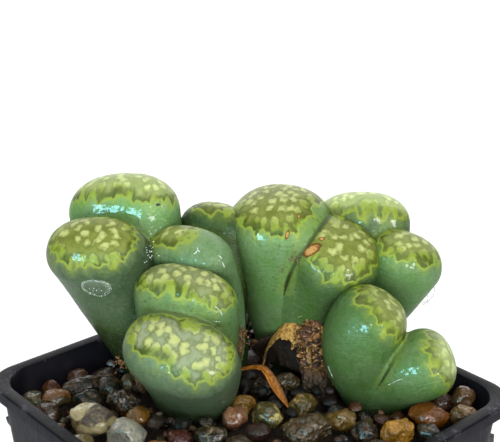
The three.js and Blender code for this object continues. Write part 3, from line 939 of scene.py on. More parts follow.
    def face_marks(self, points: Array, index: int, place: Sequence[Array]) -> dict[str, Array]:
        """What the skin reads from one leaf.

        Args:
            points: The head's points.
            index: The leaf's index.
            place: Where the points lie on the leaf's dome.

        Returns:
            The place on the face, the distance inside its edge, and the leaf's traits, painted sheen and
            painted shade.
        """
        leaf = self.leaves[index]
        polar, heading, _ = place
        half_length, half_out, half_in, dome = leaf.size
        along, across = np.cos(heading), np.sin(heading)
        half_width = np.where(across > 0, half_out, half_in)
        radius = np.hypot(half_length * along, half_width * across)
        edge = np.interp(np.mod(heading, 2 * math.pi), self.EDGE_HEADINGS, [*leaf.margin, leaf.margin[0]])
        spread = polar * self.FACE_SPREAD
        seed = index * self.PATTERN_STEPS[0] + len(self.name) * self.PATTERN_STEPS[1]
        seeds = np.full(len(points), seed)
        return {
            "face": np.stack([spread * along * half_length, spread * across * half_width, seeds], axis=-1),
            "inside": (np.radians(edge) - polar) * (radius + dome) / 2,
            "traits": np.tile([leaf.islands, leaf.bloom, leaf.tone], (len(points), 1)),
            "painted_sheen": np.full(len(points), leaf.painted_sheen),
            # Painted shade: the body darkens downward from the leaf's shade_top.
            "shade": soft_step(leaf.shade_top + LAYOUT.rim - points[:, 2], 0, self.SHADE_RUN),
        }

    def scar_mark(self, places: Sequence[Sequence[Array]], owner: Array) -> Array:
        """How far inside a scar the points lie.

        Args:
            places: Where the points lie on the two domes.
            owner: Whether each point is the second leaf's.

        Returns:
            1 on a scar's edge, 2 in its middle and 0 well outside.
        """
        scarred = np.zeros(len(owner))
        for scar in self.scars:
            polar, heading, _ = places[scar.leaf]
            spot = np.radians([scar.heading, scar.angle])
            centre = np.array([math.cos(spot[0]), math.sin(spot[0])]) * spot[1] * self.FACE_SPREAD
            here = np.stack([np.cos(heading), np.sin(heading)], axis=-1) * (polar * self.FACE_SPREAD)[:, None]
            offset = (here - centre) * self.leaves[scar.leaf].size[:2]
            turn = spot[0] + math.radians(scar.turn)
            length = offset @ [math.cos(turn), math.sin(turn)]
            width = offset @ [-math.sin(turn), math.cos(turn)]
            spread = np.hypot(length / scar.reach[0], width / scar.reach[1])
            deeper = np.maximum(scarred, np.clip(2 - spread, 0, 2))
            scarred = np.where(owner == scar.leaf, deeper, scarred)
        return scarred

    def wet_mark(self, points: Array) -> Array:
        """How wet the points are.

        Args:
            points: The points.

        Returns:
            1 in the middle of a splash and 0 away from every one.
        """
        wet = np.zeros(len(points))
        for *place, reach in WATER:
            away = np.linalg.norm(points - LAYOUT.point(place), axis=1)
            wet = np.maximum(wet, 1 - away / (reach * self.WATER_EDGE))
        return wet

    def crease_marks(self, piece: Piece, apart: Array, way: Array) -> dict[str, Array]:
        """What the skin reads along the crease.

        Args:
            piece: The head, with its fused part as a vertex group.
            apart: The difference of each point's distances from the two domes.
            way: How far up the head each point lies, as a share of its fork.

        Returns:
            The masks of the cleft between the leaves and of the painted shade of the slit in it.
        """
        vertices = piece.data.vertices
        fused = np.array([vertex.groups[0].weight if vertex.groups else 0.0 for vertex in vertices])
        narrow, widening = self.SLIT_REACH
        reach = narrow + widening * soft_step(way, *self.slit[:2])
        slit = (1 - soft_step(apart / reach, 0.3, 1.0)) * (way > self.slit[0])
        return {
            "cleft": np.where(fused < 0.5, 1 - np.clip(apart, 0, 1), 0),
            "slit": slit * (1 - soft_step(way, *self.slit[2:])),
        }


# The middle and the reach of each splash of water, in the clump's frame.
WATER = (
    (-30.7, 19.2, 28.0, 1.2), (-28.3, 17.9, 27.7, 1.7), (-25.3, 17.0, 27.3, 1.9),
    (-22.5, 16.4, 26.8, 1.9), (-20.6, 16.2, 26.5, 1.6), (-18.4, 16.4, 26.2, 0.6), (-30.9, 6.2, 22.3, 1.5),
    (-16.9, 11.5, 21.4, 1.2), (-15.2, 10.3, 22.1, 1.1), (-9.4, 8.3, 23.2, 0.9), (-5.0, 7.9, 21.1, 1.0),
    (-6.0, 0.0, 14.7, 1.1), (-4.8, 0.4, 12.9, 0.9), (-6.2, -9.5, 8.0, 0.5), (0.0, 14.2, 22.9, 1.0),
    (1.9, 13.3, 23.4, 1.1), (11.8, 9.8, 18.1, 1.7), (18.0, 8.7, 19.4, 0.55), (18.15, 8.4, 18.5, 0.6),
    (18.3, 8.1, 17.6, 0.5), (20.9, 19.0, 25.1, 0.7), (24.3, 19.0, 25.4, 0.8), (27.4, 19.3, 24.8, 0.8),
    (30.0, 11.2, 18.9, 1.1), (20.7, -0.9, 13.0, 1.1), (29.4, -3.3, 5.4, 1.1), (27.8, -3.0, 3.9, 1.1),
    (34.0, -3.7, 4.5, 0.9),
)

HEADS = (
    Head(
        "head_left_front", (-9.5, 6), 12, 250, 0.62,
        (
            Leaf((-12, -2.5, 8), 46, 255, -30, -1, (10.8, 7.8, 6.6, 5.6),
                 (74, 54, 31, 36, 66, 60, 48, 76), islands=0.85, bloom=0.85, tone=0.56, shade_top=-1),
            Leaf((-11.6, 6.5, 14), 12, 260, -22, 1, (10.2, 5.8, 5.4, 6.5),
                 (72, 60, 60, 60, 64, 68, 43, 68), islands=0.75, bloom=0.32, tone=0.95),
        ),
    ),
    Head(
        "head_right_front", (23, 9), 15, 0, 0.66,
        (
            Leaf((22.6, 6.5, 10), 34, 10, 75, 1, (8.5, 7.8, 6.5, 6),
                 (55, 50, 52, 57, 67, 81, 75, 65), islands=0.5, bloom=0.15, tone=0.74, shade_top=-12,
                 painted_sheen=0.07),
            Leaf((32.6, 3, 3.4), 64, -5, 75, -1, (7.2, 6.2, 6.2, 5.2),
                 (65, 65, 65, 60, 69, 76, 60, 60), islands=0.5, bloom=0.2, tone=0.9, shade_top=-10, painted_sheen=0.3),
        ),
        swell=1.1,
        slit=(1.04, 1.25, 1.25, 1.5),
    ),
    Head(
        "head_centre", (8, 24), 5, 0, 0.76,
        (
            Leaf((5.5, 22, 22.2), 14, 220, 62, 1, (9.6, 10.2, 10.6, 7.8),
                 (60, 60, 60, 48, 60, 65, 49, 64), islands=0.55, bloom=0.3, tone=1.15, shade_top=4),
            Leaf((17.6, 16, 17.2), 40, -60, 62, -1, (8.6, 7.2, 10.8, 6.8),
                 (50, 48, 42, 44, 61, 65, 58, 54), islands=0.45, bloom=0.2, tone=0.75, shade_top=6),
        ),
        slit=(1.04, 1.22, 1.25, 1.45),
        scars=(
            Scar(1, 218, 54, (1.9, 0.72), -20),
            Scar(1, 235, 38, (0.45, 0.28), -38),
            Scar(0, 241, 46, (0.42, 0.34)),
            Scar(0, 217, 63, (0.95, 0.38), -29),
        ),
    ),
    Head(
        "head_left_rear", (-12, 13.2), 28, 180, 0.6,
        (
            Leaf((-28.4, 12.5, 21.2), 38, 242, -10, -1, (9.8, 7.2, 6, 6.2),
                 (70, 64, 52, 50, 56, 58, 62, 70), islands=0.45, bloom=0.75, tone=0.42, shade_top=11),
            Leaf((-24.3, 22.5, 25), 12, 120, -12, 1, (11, 6.8, 6, 7.5),
                 (80, 75, 75, 72, 72, 64, 59, 77), islands=0.4, bloom=0.25, tone=1.5, painted_sheen=0.24),
        ),
    ),
    Head(
        "head_right_rear", (14.2, 17.2), 20, -25, 0.62,
        (
            Leaf((21.8, 24, 22.8), 10, 100, -6, 1, (9.4, 6, 5.5, 6),
                 (86, 70, 70, 70, 70, 72, 63, 72), islands=0.6, bloom=0.55, tone=0.58, painted_sheen=0.34),
            Leaf((29.6, 17, 17.6), 32, -40, -6, -1, (7.4, 6, 5.5, 5.5),
                 (50, 38, 46, 65, 68, 60, 58, 55), islands=0.6, bloom=0.3, tone=0.96, painted_sheen=0.06),
        ),
        swell=1.15,
    ),
    Head(
        "head_mid_rear", (-5, 16), 8, 150, 0.6,
        (
            Leaf((-11.3, 14, 19.6), 22, 230, -30, -1, (9.2, 5.6, 5.2, 5.6),
                 (12, 19, 33, 44, 56, 56, 52, 20), islands=0.5, bloom=0.5, tone=1.1, painted_sheen=0.06),
            Leaf((-6.8, 22, 21), 8, 60, -30, 1, (7.6, 5.5, 5, 6),
                 (42, 46, 50, 48, 42, 40, 42, 42), islands=0.5, bloom=0.25, tone=0.45, shade_top=18),
        ),
    ),
)


@dataclass(frozen=True)
class LeafSkin:
    """The skin of a head: a blue-green shoulder and a face of olive windows with pale islands.

    Attributes:
        shoulder: The shoulder's colour.
        bloomed: The shoulder where a pale bloom covers it.
        leafy: Its greener streaks.
        low: The painted shade low on the body, also used for its dark grain and dots.
        deep: The deepest painted shade, at its foot.
        crevice_shade: The painted shade that the skin is multiplied by where heads press together.
        rim: The bright line round the face.
        inner: The skin inside the fissure.
        slit: The painted shade at the bottom of the fissure.
        grey_window: The middle of the face, between the islands.
        milky_window: The same on a face with many islands.
        dark_window: The darker patches there.
        edge_window: The windows close to the face's edge.
        island: The islands.
        tongue: The islands that reach over the face's edge.
        painted_sheen_color: What the painted sheen adds, a pale haze of glancing light.
        scar: Corky scars.
        scar_edge: Their edges.
        speck: Specks of dirt.
    """

    shoulder: Color = srgb(75, 115, 53)
    bloomed: Color = srgb(116, 139, 110)
    leafy: Color = srgb(68, 106, 52)
    low: Color = srgb(44, 60, 10)
    deep: Color = srgb(18, 24, 6)
    crevice_shade: Color = (0.15, 0.2, 0.05, 1.0)
    rim: Color = srgb(140, 156, 44)
    inner: Color = srgb(112, 134, 46)
    slit: Color = srgb(34, 44, 14)
    grey_window: Color = srgb(114, 124, 54)
    milky_window: Color = srgb(134, 146, 116)
    dark_window: Color = srgb(82, 92, 26)
    edge_window: Color = srgb(56, 68, 2)
    island: Color = srgb(176, 184, 116)
    tongue: Color = srgb(128, 148, 48)
    painted_sheen_color: Color = srgb(176, 200, 154)
    scar: Color = srgb(178, 138, 82)
    scar_edge: Color = srgb(98, 54, 8)
    speck: Color = srgb(60, 44, 26)

    TONGUE_REACH = 2.4
    TONGUE_STRETCH = 0.3

    def face(self, s: Shader, inside: Signal, islands: Signal) -> tuple[Signal, ...]:
        """Draws the pattern of the face.

        Args:
            s: The shader under construction.
            inside: The distance inside the face's edge.
            islands: The share of pale islands.

        Returns:
            The masks of the window, its rim, the halo round it and the islands, and the colour.
        """
        x, y, seed = s.parts(s.attribute("face"))
        flat = s.combined(x, y, 0.0)
        squeeze = (self.TONGUE_REACH - inside).larger(0.0) * self.TONGUE_STRETCH
        spot = s.vector("SUBTRACT", flat, s.vector("SCALE", s.vector("NORMALIZE", flat), scale=squeeze))
        spot = s.vector("ADD", spot, s.combined(seed * 13.0, seed * 7.0, 0.0))
        bent = s.wander(spot, 0.6, 1.2)
        fray = s.noise(spot, 1.1, detail=2.0) - 0.5
        cell = s.cells(bent, 0.54, "SMOOTH_F1", dimensions="2D", Smoothness=0.25, Randomness=0.95)
        lobes = s.noise(spot, 0.28, detail=1.0) - 0.5
        teeth = s.noise(spot, 0.75, detail=1.0) - 0.5
        edge = inside - 0.8 + lobes * 1.4 + teeth * 1.6 + (cell + fray * 0.35 - 0.36) * 2.6
        window = edge.step(-0.3, 0.35)
        rim = edge.step(-1.2, -0.25) * (1.0 - window)
        halo = edge.step(-3.2, -0.2)
        near_edge = edge.step(2.8, 0.6)

        clouds = s.noise(spot, 0.42, detail=2.0) - 0.5
        cover = 0.17 + islands * 0.16 + clouds * 0.55 + near_edge * 0.1
        past = cell + fray * 0.85 - cover
        island = past.step(0.28, -0.26)
        moat = past.step(0.0, 0.16) * past.step(0.42, 0.16)
        patches = s.noise(s.wander(spot, 0.5, 0.8), 0.5, detail=1.0).step(0.38, 0.72)

        pale = s.mix(islands.step(0.6, 0.9), self.grey_window, self.milky_window)
        ground = s.mix((patches * 0.6).lifted(moat * 0.5), pale, self.dark_window)
        ground = s.mix(near_edge * (0.65 + patches * 0.35), ground, self.edge_window)
        land = s.mix(near_edge, self.island, self.tongue)
        # Painted sheen: a pale haze added over the face, standing for glancing light.
        painted_sheen = s.attribute("painted_sheen", "Fac") * (1.0 - near_edge * 0.75)
        return window, rim, halo, island, s.mix(painted_sheen, s.mix(island * 0.9, ground, land), self.painted_sheen_color, "ADD")

    def flesh(self, s: Shader, place: Signal, bloom: Signal, tone: Signal, cleft: Signal) -> Signal:
        """Colours the skin round the face, with painted shade low on the body and in the crevices.

        Args:
            s: The shader under construction.
            place: The place on the head, in millimetres.
            bloom: How pale and blue the skin is.
            tone: How bright it is, partly its own colour and partly painted light and shade.
            cleft: The mask of the cleft between the leaves.

        Returns:
            The colour.
        """
        shade = s.attribute("shade", "Fac")
        mottle = s.noise(place, 0.22, detail=3.0) - 0.5
        veins = s.noise(s.vector("MULTIPLY", place, (1.0, 1.0, 0.3)), 0.6, detail=3.0) - 0.5
        skin = s.mix(bloom + mottle * 1.1, self.shoulder, self.bloomed)
        skin = s.mix((veins * 2.5 + mottle * 1.5).step(-0.1, 0.7) * 0.5, skin, self.leafy)
        # Painted light and shade in part: each leaf's own brightness.
        skin = s.mix(1.0, skin, s.combined(tone, tone, tone), "MULTIPLY")
        # Painted shade, darker low on the body and darkest at its foot.
        skin = s.mix(shade * 0.9 + mottle * 0.3, skin, self.low)
        skin = s.mix(shade.step(0.6, 1.0) * 0.7, skin, self.deep)
        # Painted shade in the crevices where heads press together.
        crevice_shaded = s.mix(1.0, skin, self.crevice_shade, "MULTIPLY")
        skin = s.mix(s.attribute("crevice_shade", "Fac") * 0.65, skin, crevice_shaded)
        skin = s.mix(cleft.step(0.6, 0.98) * 0.35, skin, self.inner)
        grain = s.noise(place, 1.6, detail=4.0, roughness=0.7) - 0.5
        skin = s.mix(grain * 1.5, skin, self.low)
        skin = s.mix(grain * -1.1, skin, self.bloomed)
        dots = s.cells(place, 2.4, Randomness=1.0).step(0.16, 0.05)
        return s.mix(dots * 0.4, skin, self.low)

    def build(self) -> Material:
        """Builds the material.

        Returns:
            The material.
        """
        s = Shader.of_material("leaf_skin")
        place = s.position()
        cleft = s.attribute("cleft", "Fac")
        islands, bloom, tone = s.parts(s.attribute("traits"))
        window, rim, halo, island, face_color = self.face(s, s.attribute("inside", "Fac"), islands)
        skin = s.mix(halo * 0.25, self.flesh(s, place, bloom, tone, cleft), self.rim)
        skin = s.mix(rim * 0.7, skin, self.rim)
        # Painted shade: the slit in the fissure is darkened.
        color = s.mix(s.attribute("slit", "Fac"), s.mix(window, skin, face_color), self.slit)
        grime = s.noise(place, 1.6, detail=3.0, roughness=0.7)
        color = s.mix(grime.step(0.62, 0.68) * cleft.step(0.4, 0.7) * 0.8, color, self.speck)

        scar = s.attribute("scar", "Fac")
        crust = s.noise(place, 2.0, detail=3.0, roughness=0.65)
        scarred = (scar + (crust - 0.5) * 0.5).step(0.92, 1.04)
        scar_color = s.mix((scar + (crust - 0.5) * 0.9).step(1.12, 1.5), self.scar_edge, self.scar)
        scar_color = s.mix(crust.step(0.56, 0.64) * 0.6, scar_color, self.speck)
        color = s.mix(scarred, color, scar_color)

        pores = s.noise(place, 3.2, detail=3.0, roughness=0.6)
        waves = s.noise(place, 0.5, detail=2.0)
        bent = s.vector("MULTIPLY", s.wander(place, 0.15, 6.0), (0.25, 0.25, 2.0))
        wrinkles = s.noise(bent, 0.9, detail=2.0)
        relief = pores * 0.35 + waves * 1.6 + island * window * 0.5 - window * 0.4 + scarred * crust * 3.0
        relief = relief + wrinkles * 1.8 * (1.0 - window)
        flecks = s.noise(place, 1.7, detail=4.0, roughness=0.7) - 0.5
        wet = (s.attribute("wet", "Fac") + flecks * 4.0).step(0.42, 0.7)
        return s.close(
            Base_Color=color,
            Roughness=0.46 + (pores - 0.5) * 0.4 + scarred * 0.3,
            Normal=s.bump(relief, 0.12, 0.6),
            Specular_IOR_Level=0.18,
            Specular_Tint=(0.85, 1.0, 0.7, 1.0),
            Subsurface_Weight=0.1,
            Subsurface_Radius=(0.6, 1.0, 0.35),
            Subsurface_Scale=1.2 * MM,
            Coat_Weight=wet * (1.0 - scarred),
            Coat_Roughness=0.06,
        )


class Plant:
    """The clump of heads."""

    # How far from another head the painted shade of a crevice reaches, and how steeply it falls off.
    CREVICE = 4.6
    CREVICE_CURVE = 1.5

    def hem_in(self, pieces: list[Piece]) -> None:
        """Stores on each head how closely the others hem in each of its points, as a mask of
        painted shade in the crevices.

        Args:
            pieces: The heads, in millimetres.
        """
        graph = bpy.context.evaluated_depsgraph_get()
        trees = [BVHTree.FromObject(piece, graph) for piece in pieces]
        for piece, own in zip(pieces, trees):
            others = [tree for tree in trees if tree is not own]
            gaps = np.full(len(piece.data.vertices), self.CREVICE)
            for index, vertex in enumerate(piece.data.vertices):
                for tree in others:
                    gap = tree.find_nearest(vertex.co, gaps[index])[3]
                    gaps[index] = gaps[index] if gap is None else gap
            write_attribute(piece, "crevice_shade", (1 - gaps / self.CREVICE) ** self.CREVICE_CURVE)

    def build(self) -> None:
        """Builds and dresses each head."""
        material = LeafSkin().build()
        pieces = [head.build() for head in HEADS]
        self.hem_in(pieces)
        for head, piece in zip(HEADS, pieces):
            finish(piece, material, [head.name])


# Pot


@dataclass(frozen=True)
class PotPlastic:
    """Near-black plastic, scuffed at the rim and dusty inside.

    Attributes:
        base: Its main colour.
        scuff: The colour of worn spots on the rim.
        dust: The colour of the dust that clings to it.
    """

    base: Color = srgb(17, 17, 24)
    scuff: Color = srgb(84, 84, 96)
    dust: Color = srgb(48, 43, 40)

    def build(self) -> Material:
        """Builds the material.

        Returns:
            The material.
        """
        s = Shader.of_material("pot_plastic")
        place = s.position()
        height = s.parts(place)[2]
        scratches = s.noise(s.vector("MULTIPLY", place, (1.0, 1.0, 0.12)), 2.2, detail=4.0, roughness=0.7)
        blotches = s.noise(place, 0.25, detail=3.0)
        rim = height.step(LAYOUT.rim - 0.75, LAYOUT.rim - 0.05)
        worn = rim * (scratches + blotches).step(1.02, 1.3)
        dusty = (blotches + scratches * 0.5).step(0.72, 1.0)
        color = s.mix(dusty * 0.22, self.base, self.dust)
        color = s.mix(worn * 0.75, color, self.scuff)
        color = s.mix(rim * (1.0 - worn) * 0.6, color, BLACK)
        return s.close(
            Base_Color=color,
            Roughness=0.5 + (scratches - 0.5) * 0.5 + worn * 0.15,
            Normal=s.bump(scratches, 0.05, 0.5),
            Specular_IOR_Level=0.08,
        )


@dataclass
class Pot:
    """A thin square pot with a rounded lip, four drain holes and leaning walls.

    Attributes:
        corner: The radius of its corners at the rim.
        lip_drop: The height of its lip.
        overhang: How far the lip stands out of the wall.
        wall: The thickness of the wall.
        lean_deg: How much the wall leans out.
        floor: The thickness of the floor.
        drain: The radius of a drain hole, and how far its middle lies from the pot's middle.
        clearance: The height of the step below the lip.
        lip_round: The radius of the lip's outer edge.
    """

    corner: float = 6.5
    lip_drop: float = 2.6
    overhang: float = 1.2
    wall: float = 1.2
    lean_deg: float = 4.5
    floor: float = 1.4
    drain: tuple[float, float] = (3.0, 17.0)
    clearance: float = 0.3
    lip_round: float = 0.4

    FOOT = (0.6, 0.5)
    LIP_ANGLES = (20, 45, 70, 90)
    MOUTH_EDGE = 0.1
    COVE_HEIGHT = 1.2
    COVE = ((0.7, 0.35), (2.4, 0.0))
    DRILL = 8.0
    EDGE_DEG = 35.0

    def __post_init__(self) -> None:
        """Reads the pot's size from the frame."""
        low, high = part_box("pot")
        self.side = (high.x - low.x) / MM
        self.height = high.z / MM

    def outer(self, height: float) -> float:
        """The outer side at a height."""
        lean = math.tan(math.radians(self.lean_deg))
        return self.side - 2 * self.overhang - 2 * lean * (self.height - height)

    def inner(self, height: float) -> float:
        """The inner side at a height."""
        return self.outer(height) - 2 * self.wall

    def levels(self) -> list[tuple[float, float]]:
        """The levels that the wall is drawn through, from under the floor to its top and down inside.

        Returns:
            The side and the height of each level.
        """
        lip = self.height - self.lip_drop
        edge = self.lip_round
        mouth = self.inner(self.height)
        return [
            (self.outer(0), self.FOOT[1]),
            (self.outer(lip), lip),
            (self.side, lip + self.clearance),
            (self.side, self.height - edge),
            *(
                (self.side - 2 * edge * (1 - math.cos(angle)), self.height - edge * (1 - math.sin(angle)))
                for angle in np.radians(self.LIP_ANGLES)
            ),
            (mouth + edge, self.height),
            (mouth + self.MOUTH_EDGE, self.height - self.MOUTH_EDGE),
            (self.inner(self.height - edge), self.height - edge),
            (self.inner(self.floor + self.COVE_HEIGHT), self.floor + self.COVE_HEIGHT),
            *((self.inner(self.floor) - narrower, self.floor + above) for narrower, above in self.COVE),
        ]

    def build(self) -> None:
        """Draws the wall up from a rounded square, down its inside to the floor, and cuts the drains."""
        first = self.outer(0) - self.FOOT[0]
        piece = add_primitive("pot_wall", bpy.ops.mesh.primitive_plane_add, size=first)

        def draw() -> None:
            """Rounds the corners, then draws the face through each level."""
            bpy.ops.mesh.bevel(offset=self.corner * first / self.side, segments=12, affect="VERTICES")
            side, at = first, 0.0
            for next_side, height in self.levels():
                bpy.ops.mesh.extrude_region_move(TRANSFORM_OT_translate={"value": (0, 0, height - at)})
                share = next_side / side
                bpy.ops.transform.resize(value=(share, share, 1), center_override=(0, 0, height))
                side, at = next_side, height
            bpy.ops.mesh.select_all(action="SELECT")
            bpy.ops.mesh.normals_make_consistent(inside=False)

        in_edit_mode(piece, draw)
        for quarter in range(4):
            turn = math.radians(45 + 90 * quarter)
            spot = (self.drain[1] * math.cos(turn), self.drain[1] * math.sin(turn), 0)
            cutter = add_primitive(
                "drain",
                bpy.ops.mesh.primitive_cylinder_add,
                vertices=32,
                radius=self.drain[0],
                depth=self.DRILL,
                location=spot,
            )
            apply_modifier(piece, "BOOLEAN", object=cutter, operation="DIFFERENCE", solver="EXACT")
            bpy.data.objects.remove(cutter)
        finish(piece, PotPlastic().build(), ["pot"], self.EDGE_DEG)


# Stones


class Pattern(Enum):
    """How a stone is marked."""

    PLAIN = "plain"
    SPECKLED = "speckled"
    BANDED = "banded"
    VEINED = "veined"
    CRUMBLY = "crumbly"
    HALF = "half"


@dataclass(frozen=True)
class Stone:
    """The looks of one stone.

    Attributes:
        slot: The record's material slot; not used.
        base: Its main colour.
        second: The colour of its marks.
        pattern: How it is marked.
        amount: The share of the marks.
        roughness: How dull it is.
        film: The colour of the mud that clings to it.
    """

    slot: str
    base: Color
    second: Color
    pattern: Pattern = Pattern.PLAIN
    amount: float = 0.4
    roughness: float = 0.3
    film: Color = srgb(84, 58, 26)

    WARMTH = (1.0, 0.97, 0.7, 1.0)

    def finish(self, name: str, seed: float) -> Material:
        """Builds the material.

        Args:
            name: The material's name.
            seed: Moves the marks, so that stones differ.

        Returns:
            The material.
        """
        s = Shader.of_material(name)
        place = s.vector("ADD", s.position(), (seed * 11.0, seed * 5.0, seed * 3.0))
        coarse = s.noise(place, 0.35, detail=4.0, roughness=0.6)
        fine = s.noise(place, 2.2, detail=4.0, roughness=0.65)
        if self.pattern is Pattern.SPECKLED:
            mark = s.cells(place, 1.9).step(0.3, 0.18) * fine.step(0.4, 0.55)
        elif self.pattern is Pattern.BANDED:
            bent = s.wander(place, 0.3, 3.0)
            bands = s.noise(s.vector("MULTIPLY", bent, (0.25, 0.35, 2.4)), 0.55, detail=3.0)
            mark = bands.step(0.56 - self.amount * 0.15, 0.62)
        elif self.pattern is Pattern.VEINED:
            ridge = s.cells(s.wander(place, 0.6, 2.0), 0.32, "DISTANCE_TO_EDGE")
            mark = ridge.step(0.09, 0.03) * coarse.step(0.4, 0.55)
        elif self.pattern is Pattern.HALF:
            mark = (s.noise(place, 0.12, detail=2.0) + fine * 0.06).step(0.53, 0.55)
        else:
            mark = (coarse * 0.6 + fine * 0.4).step(0.62 - self.amount * 0.2, 0.7 - self.amount * 0.1)
        shade = s.mix((coarse - 0.3) * 1.6, s.mix(0.7, self.base, BLACK), self.base)
        color = s.mix(mark * 0.9, shade, self.second)
        film = s.noise(place, 0.7, detail=4.0, roughness=0.6).step(0.46, 0.68)
        color = s.mix(film * 0.6, color, self.film)
        color = s.mix(1.0, color, self.WARMTH, "MULTIPLY")
        color = s.mix((fine - 0.5) * 0.8, color, s.mix(0.14, color, WHITE))
        color = s.mix((0.57 - fine) * 1.8, color, s.mix(0.6, color, BLACK))
        pits = s.cells(place, 1.5 if self.pattern is Pattern.CRUMBLY else 3.0)
        depth = 0.3 if self.pattern is Pattern.CRUMBLY else 0.08
        relief = fine * 0.7 + pits * 0.5
        return s.close(
            Base_Color=color,
            Roughness=self.roughness + (fine - 0.5) * 0.5 + mark * 0.1,
            Normal=s.bump(relief, depth, 0.8),
            Coat_Weight=fine.step(0.48, 0.55) * coarse.step(0.4, 0.5) * 0.6,
            Coat_Roughness=0.12,
            Specular_IOR_Level=0.3,
        )


RUST, BROWN, OCHRE, PALE, DARK = "stone_rust", "stone_brown", "stone_ochre", "stone_pale", "stone_dark"

# The looks of each named stone. Their colours were scaled one by one to how bright each stone looks
# where it lies, so the stones on the left and under the arch hold painted shade. The order gives each its
# seed.
STONES = {
    "red_brown": Stone(RUST, srgb(94, 49, 23), srgb(52, 28, 17)),
    "rust_back": Stone(RUST, srgb(79, 46, 33), srgb(45, 29, 27)),
    "purple_slab": Stone(BROWN, srgb(36, 30, 24), srgb(56, 48, 37), Pattern.VEINED),
    "mauve": Stone(BROWN, srgb(59, 47, 46), srgb(78, 63, 50), Pattern.BANDED),
    "ochre": Stone(OCHRE, srgb(77, 70, 39), srgb(104, 65, 21), Pattern.HALF),
    "pale_green": Stone(PALE, srgb(79, 81, 68), srgb(26, 28, 26), Pattern.HALF),
    "left_brown": Stone(BROWN, srgb(67, 47, 33), srgb(48, 33, 27)),
    "dark_green": Stone(DARK, srgb(30, 40, 34), srgb(45, 54, 44), roughness=0.35),
    "speckled": Stone(DARK, srgb(32, 36, 30), srgb(117, 120, 106), Pattern.SPECKLED),
    "cream_small": Stone(PALE, srgb(130, 122, 88), srgb(80, 74, 50)),
    "brown_big": Stone(BROWN, srgb(46, 37, 19), srgb(66, 48, 20), Pattern.CRUMBLY),
    "cream_slate": Stone(PALE, srgb(226, 216, 186), srgb(54, 47, 56), Pattern.HALF, film=srgb(140, 124, 84)),
    "pale_round": Stone(PALE, srgb(177, 180, 189), srgb(140, 144, 146), film=srgb(138, 134, 120)),
    "orange_brown": Stone(RUST, srgb(160, 116, 44), srgb(106, 71, 28)),
    "olive_tan": Stone(OCHRE, srgb(122, 114, 78), srgb(80, 72, 46)),
    "orange_front": Stone(RUST, srgb(180, 118, 58), srgb(116, 74, 40)),
    "dark_red": Stone(RUST, srgb(96, 44, 38), srgb(60, 30, 28), roughness=0.3),
    "slate_front": Stone(DARK, srgb(58, 52, 42), srgb(122, 113, 96), Pattern.VEINED, roughness=0.3),
    "pink": Stone(PALE, srgb(158, 110, 91), srgb(179, 145, 123)),
    "orange_mid": Stone(RUST, srgb(172, 130, 54), srgb(113, 85, 39), Pattern.CRUMBLY),
    "dark_streak": Stone(DARK, srgb(86, 82, 43), srgb(180, 169, 111), Pattern.VEINED),
    "under_arch": Stone(DARK, srgb(80, 71, 43), srgb(120, 98, 53), Pattern.CRUMBLY),
    "dark_hollow": Stone(DARK, srgb(31, 24, 15), srgb(52, 38, 20), Pattern.CRUMBLY),
    "crumbly": Stone(OCHRE, srgb(116, 100, 51), srgb(175, 141, 72), Pattern.CRUMBLY),
    "big_front": Stone(BROWN, srgb(85, 70, 38), srgb(55, 43, 25), Pattern.CRUMBLY),
    "tan": Stone(OCHRE, srgb(140, 112, 48), srgb(89, 67, 29), Pattern.CRUMBLY),
    "dark_grey": Stone(DARK, srgb(42, 36, 31), srgb(67, 56, 46), roughness=0.3),
    "orange_nodule": Stone(RUST, srgb(214, 158, 57), srgb(151, 110, 40), Pattern.CRUMBLY),
    "grey_right": Stone(DARK, srgb(59, 59, 55), srgb(34, 35, 34), Pattern.HALF, roughness=0.3),
    "bright_orange": Stone(RUST, srgb(139, 80, 0), srgb(100, 52, 1), roughness=0.32),
    "purple_right": Stone(BROWN, srgb(78, 53, 44), srgb(50, 34, 28)),
    "brown_corner": Stone(BROWN, srgb(102, 76, 50), srgb(73, 54, 36), Pattern.BANDED),
    "tan_crumbly": Stone(OCHRE, srgb(144, 113, 70), srgb(92, 71, 41), Pattern.CRUMBLY),
    "rear_left": Stone(BROWN, srgb(106, 84, 62), srgb(72, 56, 44)),
    "rear_pale": Stone(PALE, srgb(166, 160, 144), srgb(120, 110, 96), Pattern.BANDED),
    "rear_dark": Stone(DARK, srgb(58, 56, 50), srgb(120, 118, 108), Pattern.SPECKLED),
    "rear_orange": Stone(RUST, srgb(158, 100, 56), srgb(104, 66, 42)),
    "rear_right": Stone(BROWN, srgb(96, 76, 66), srgb(70, 54, 48)),
}


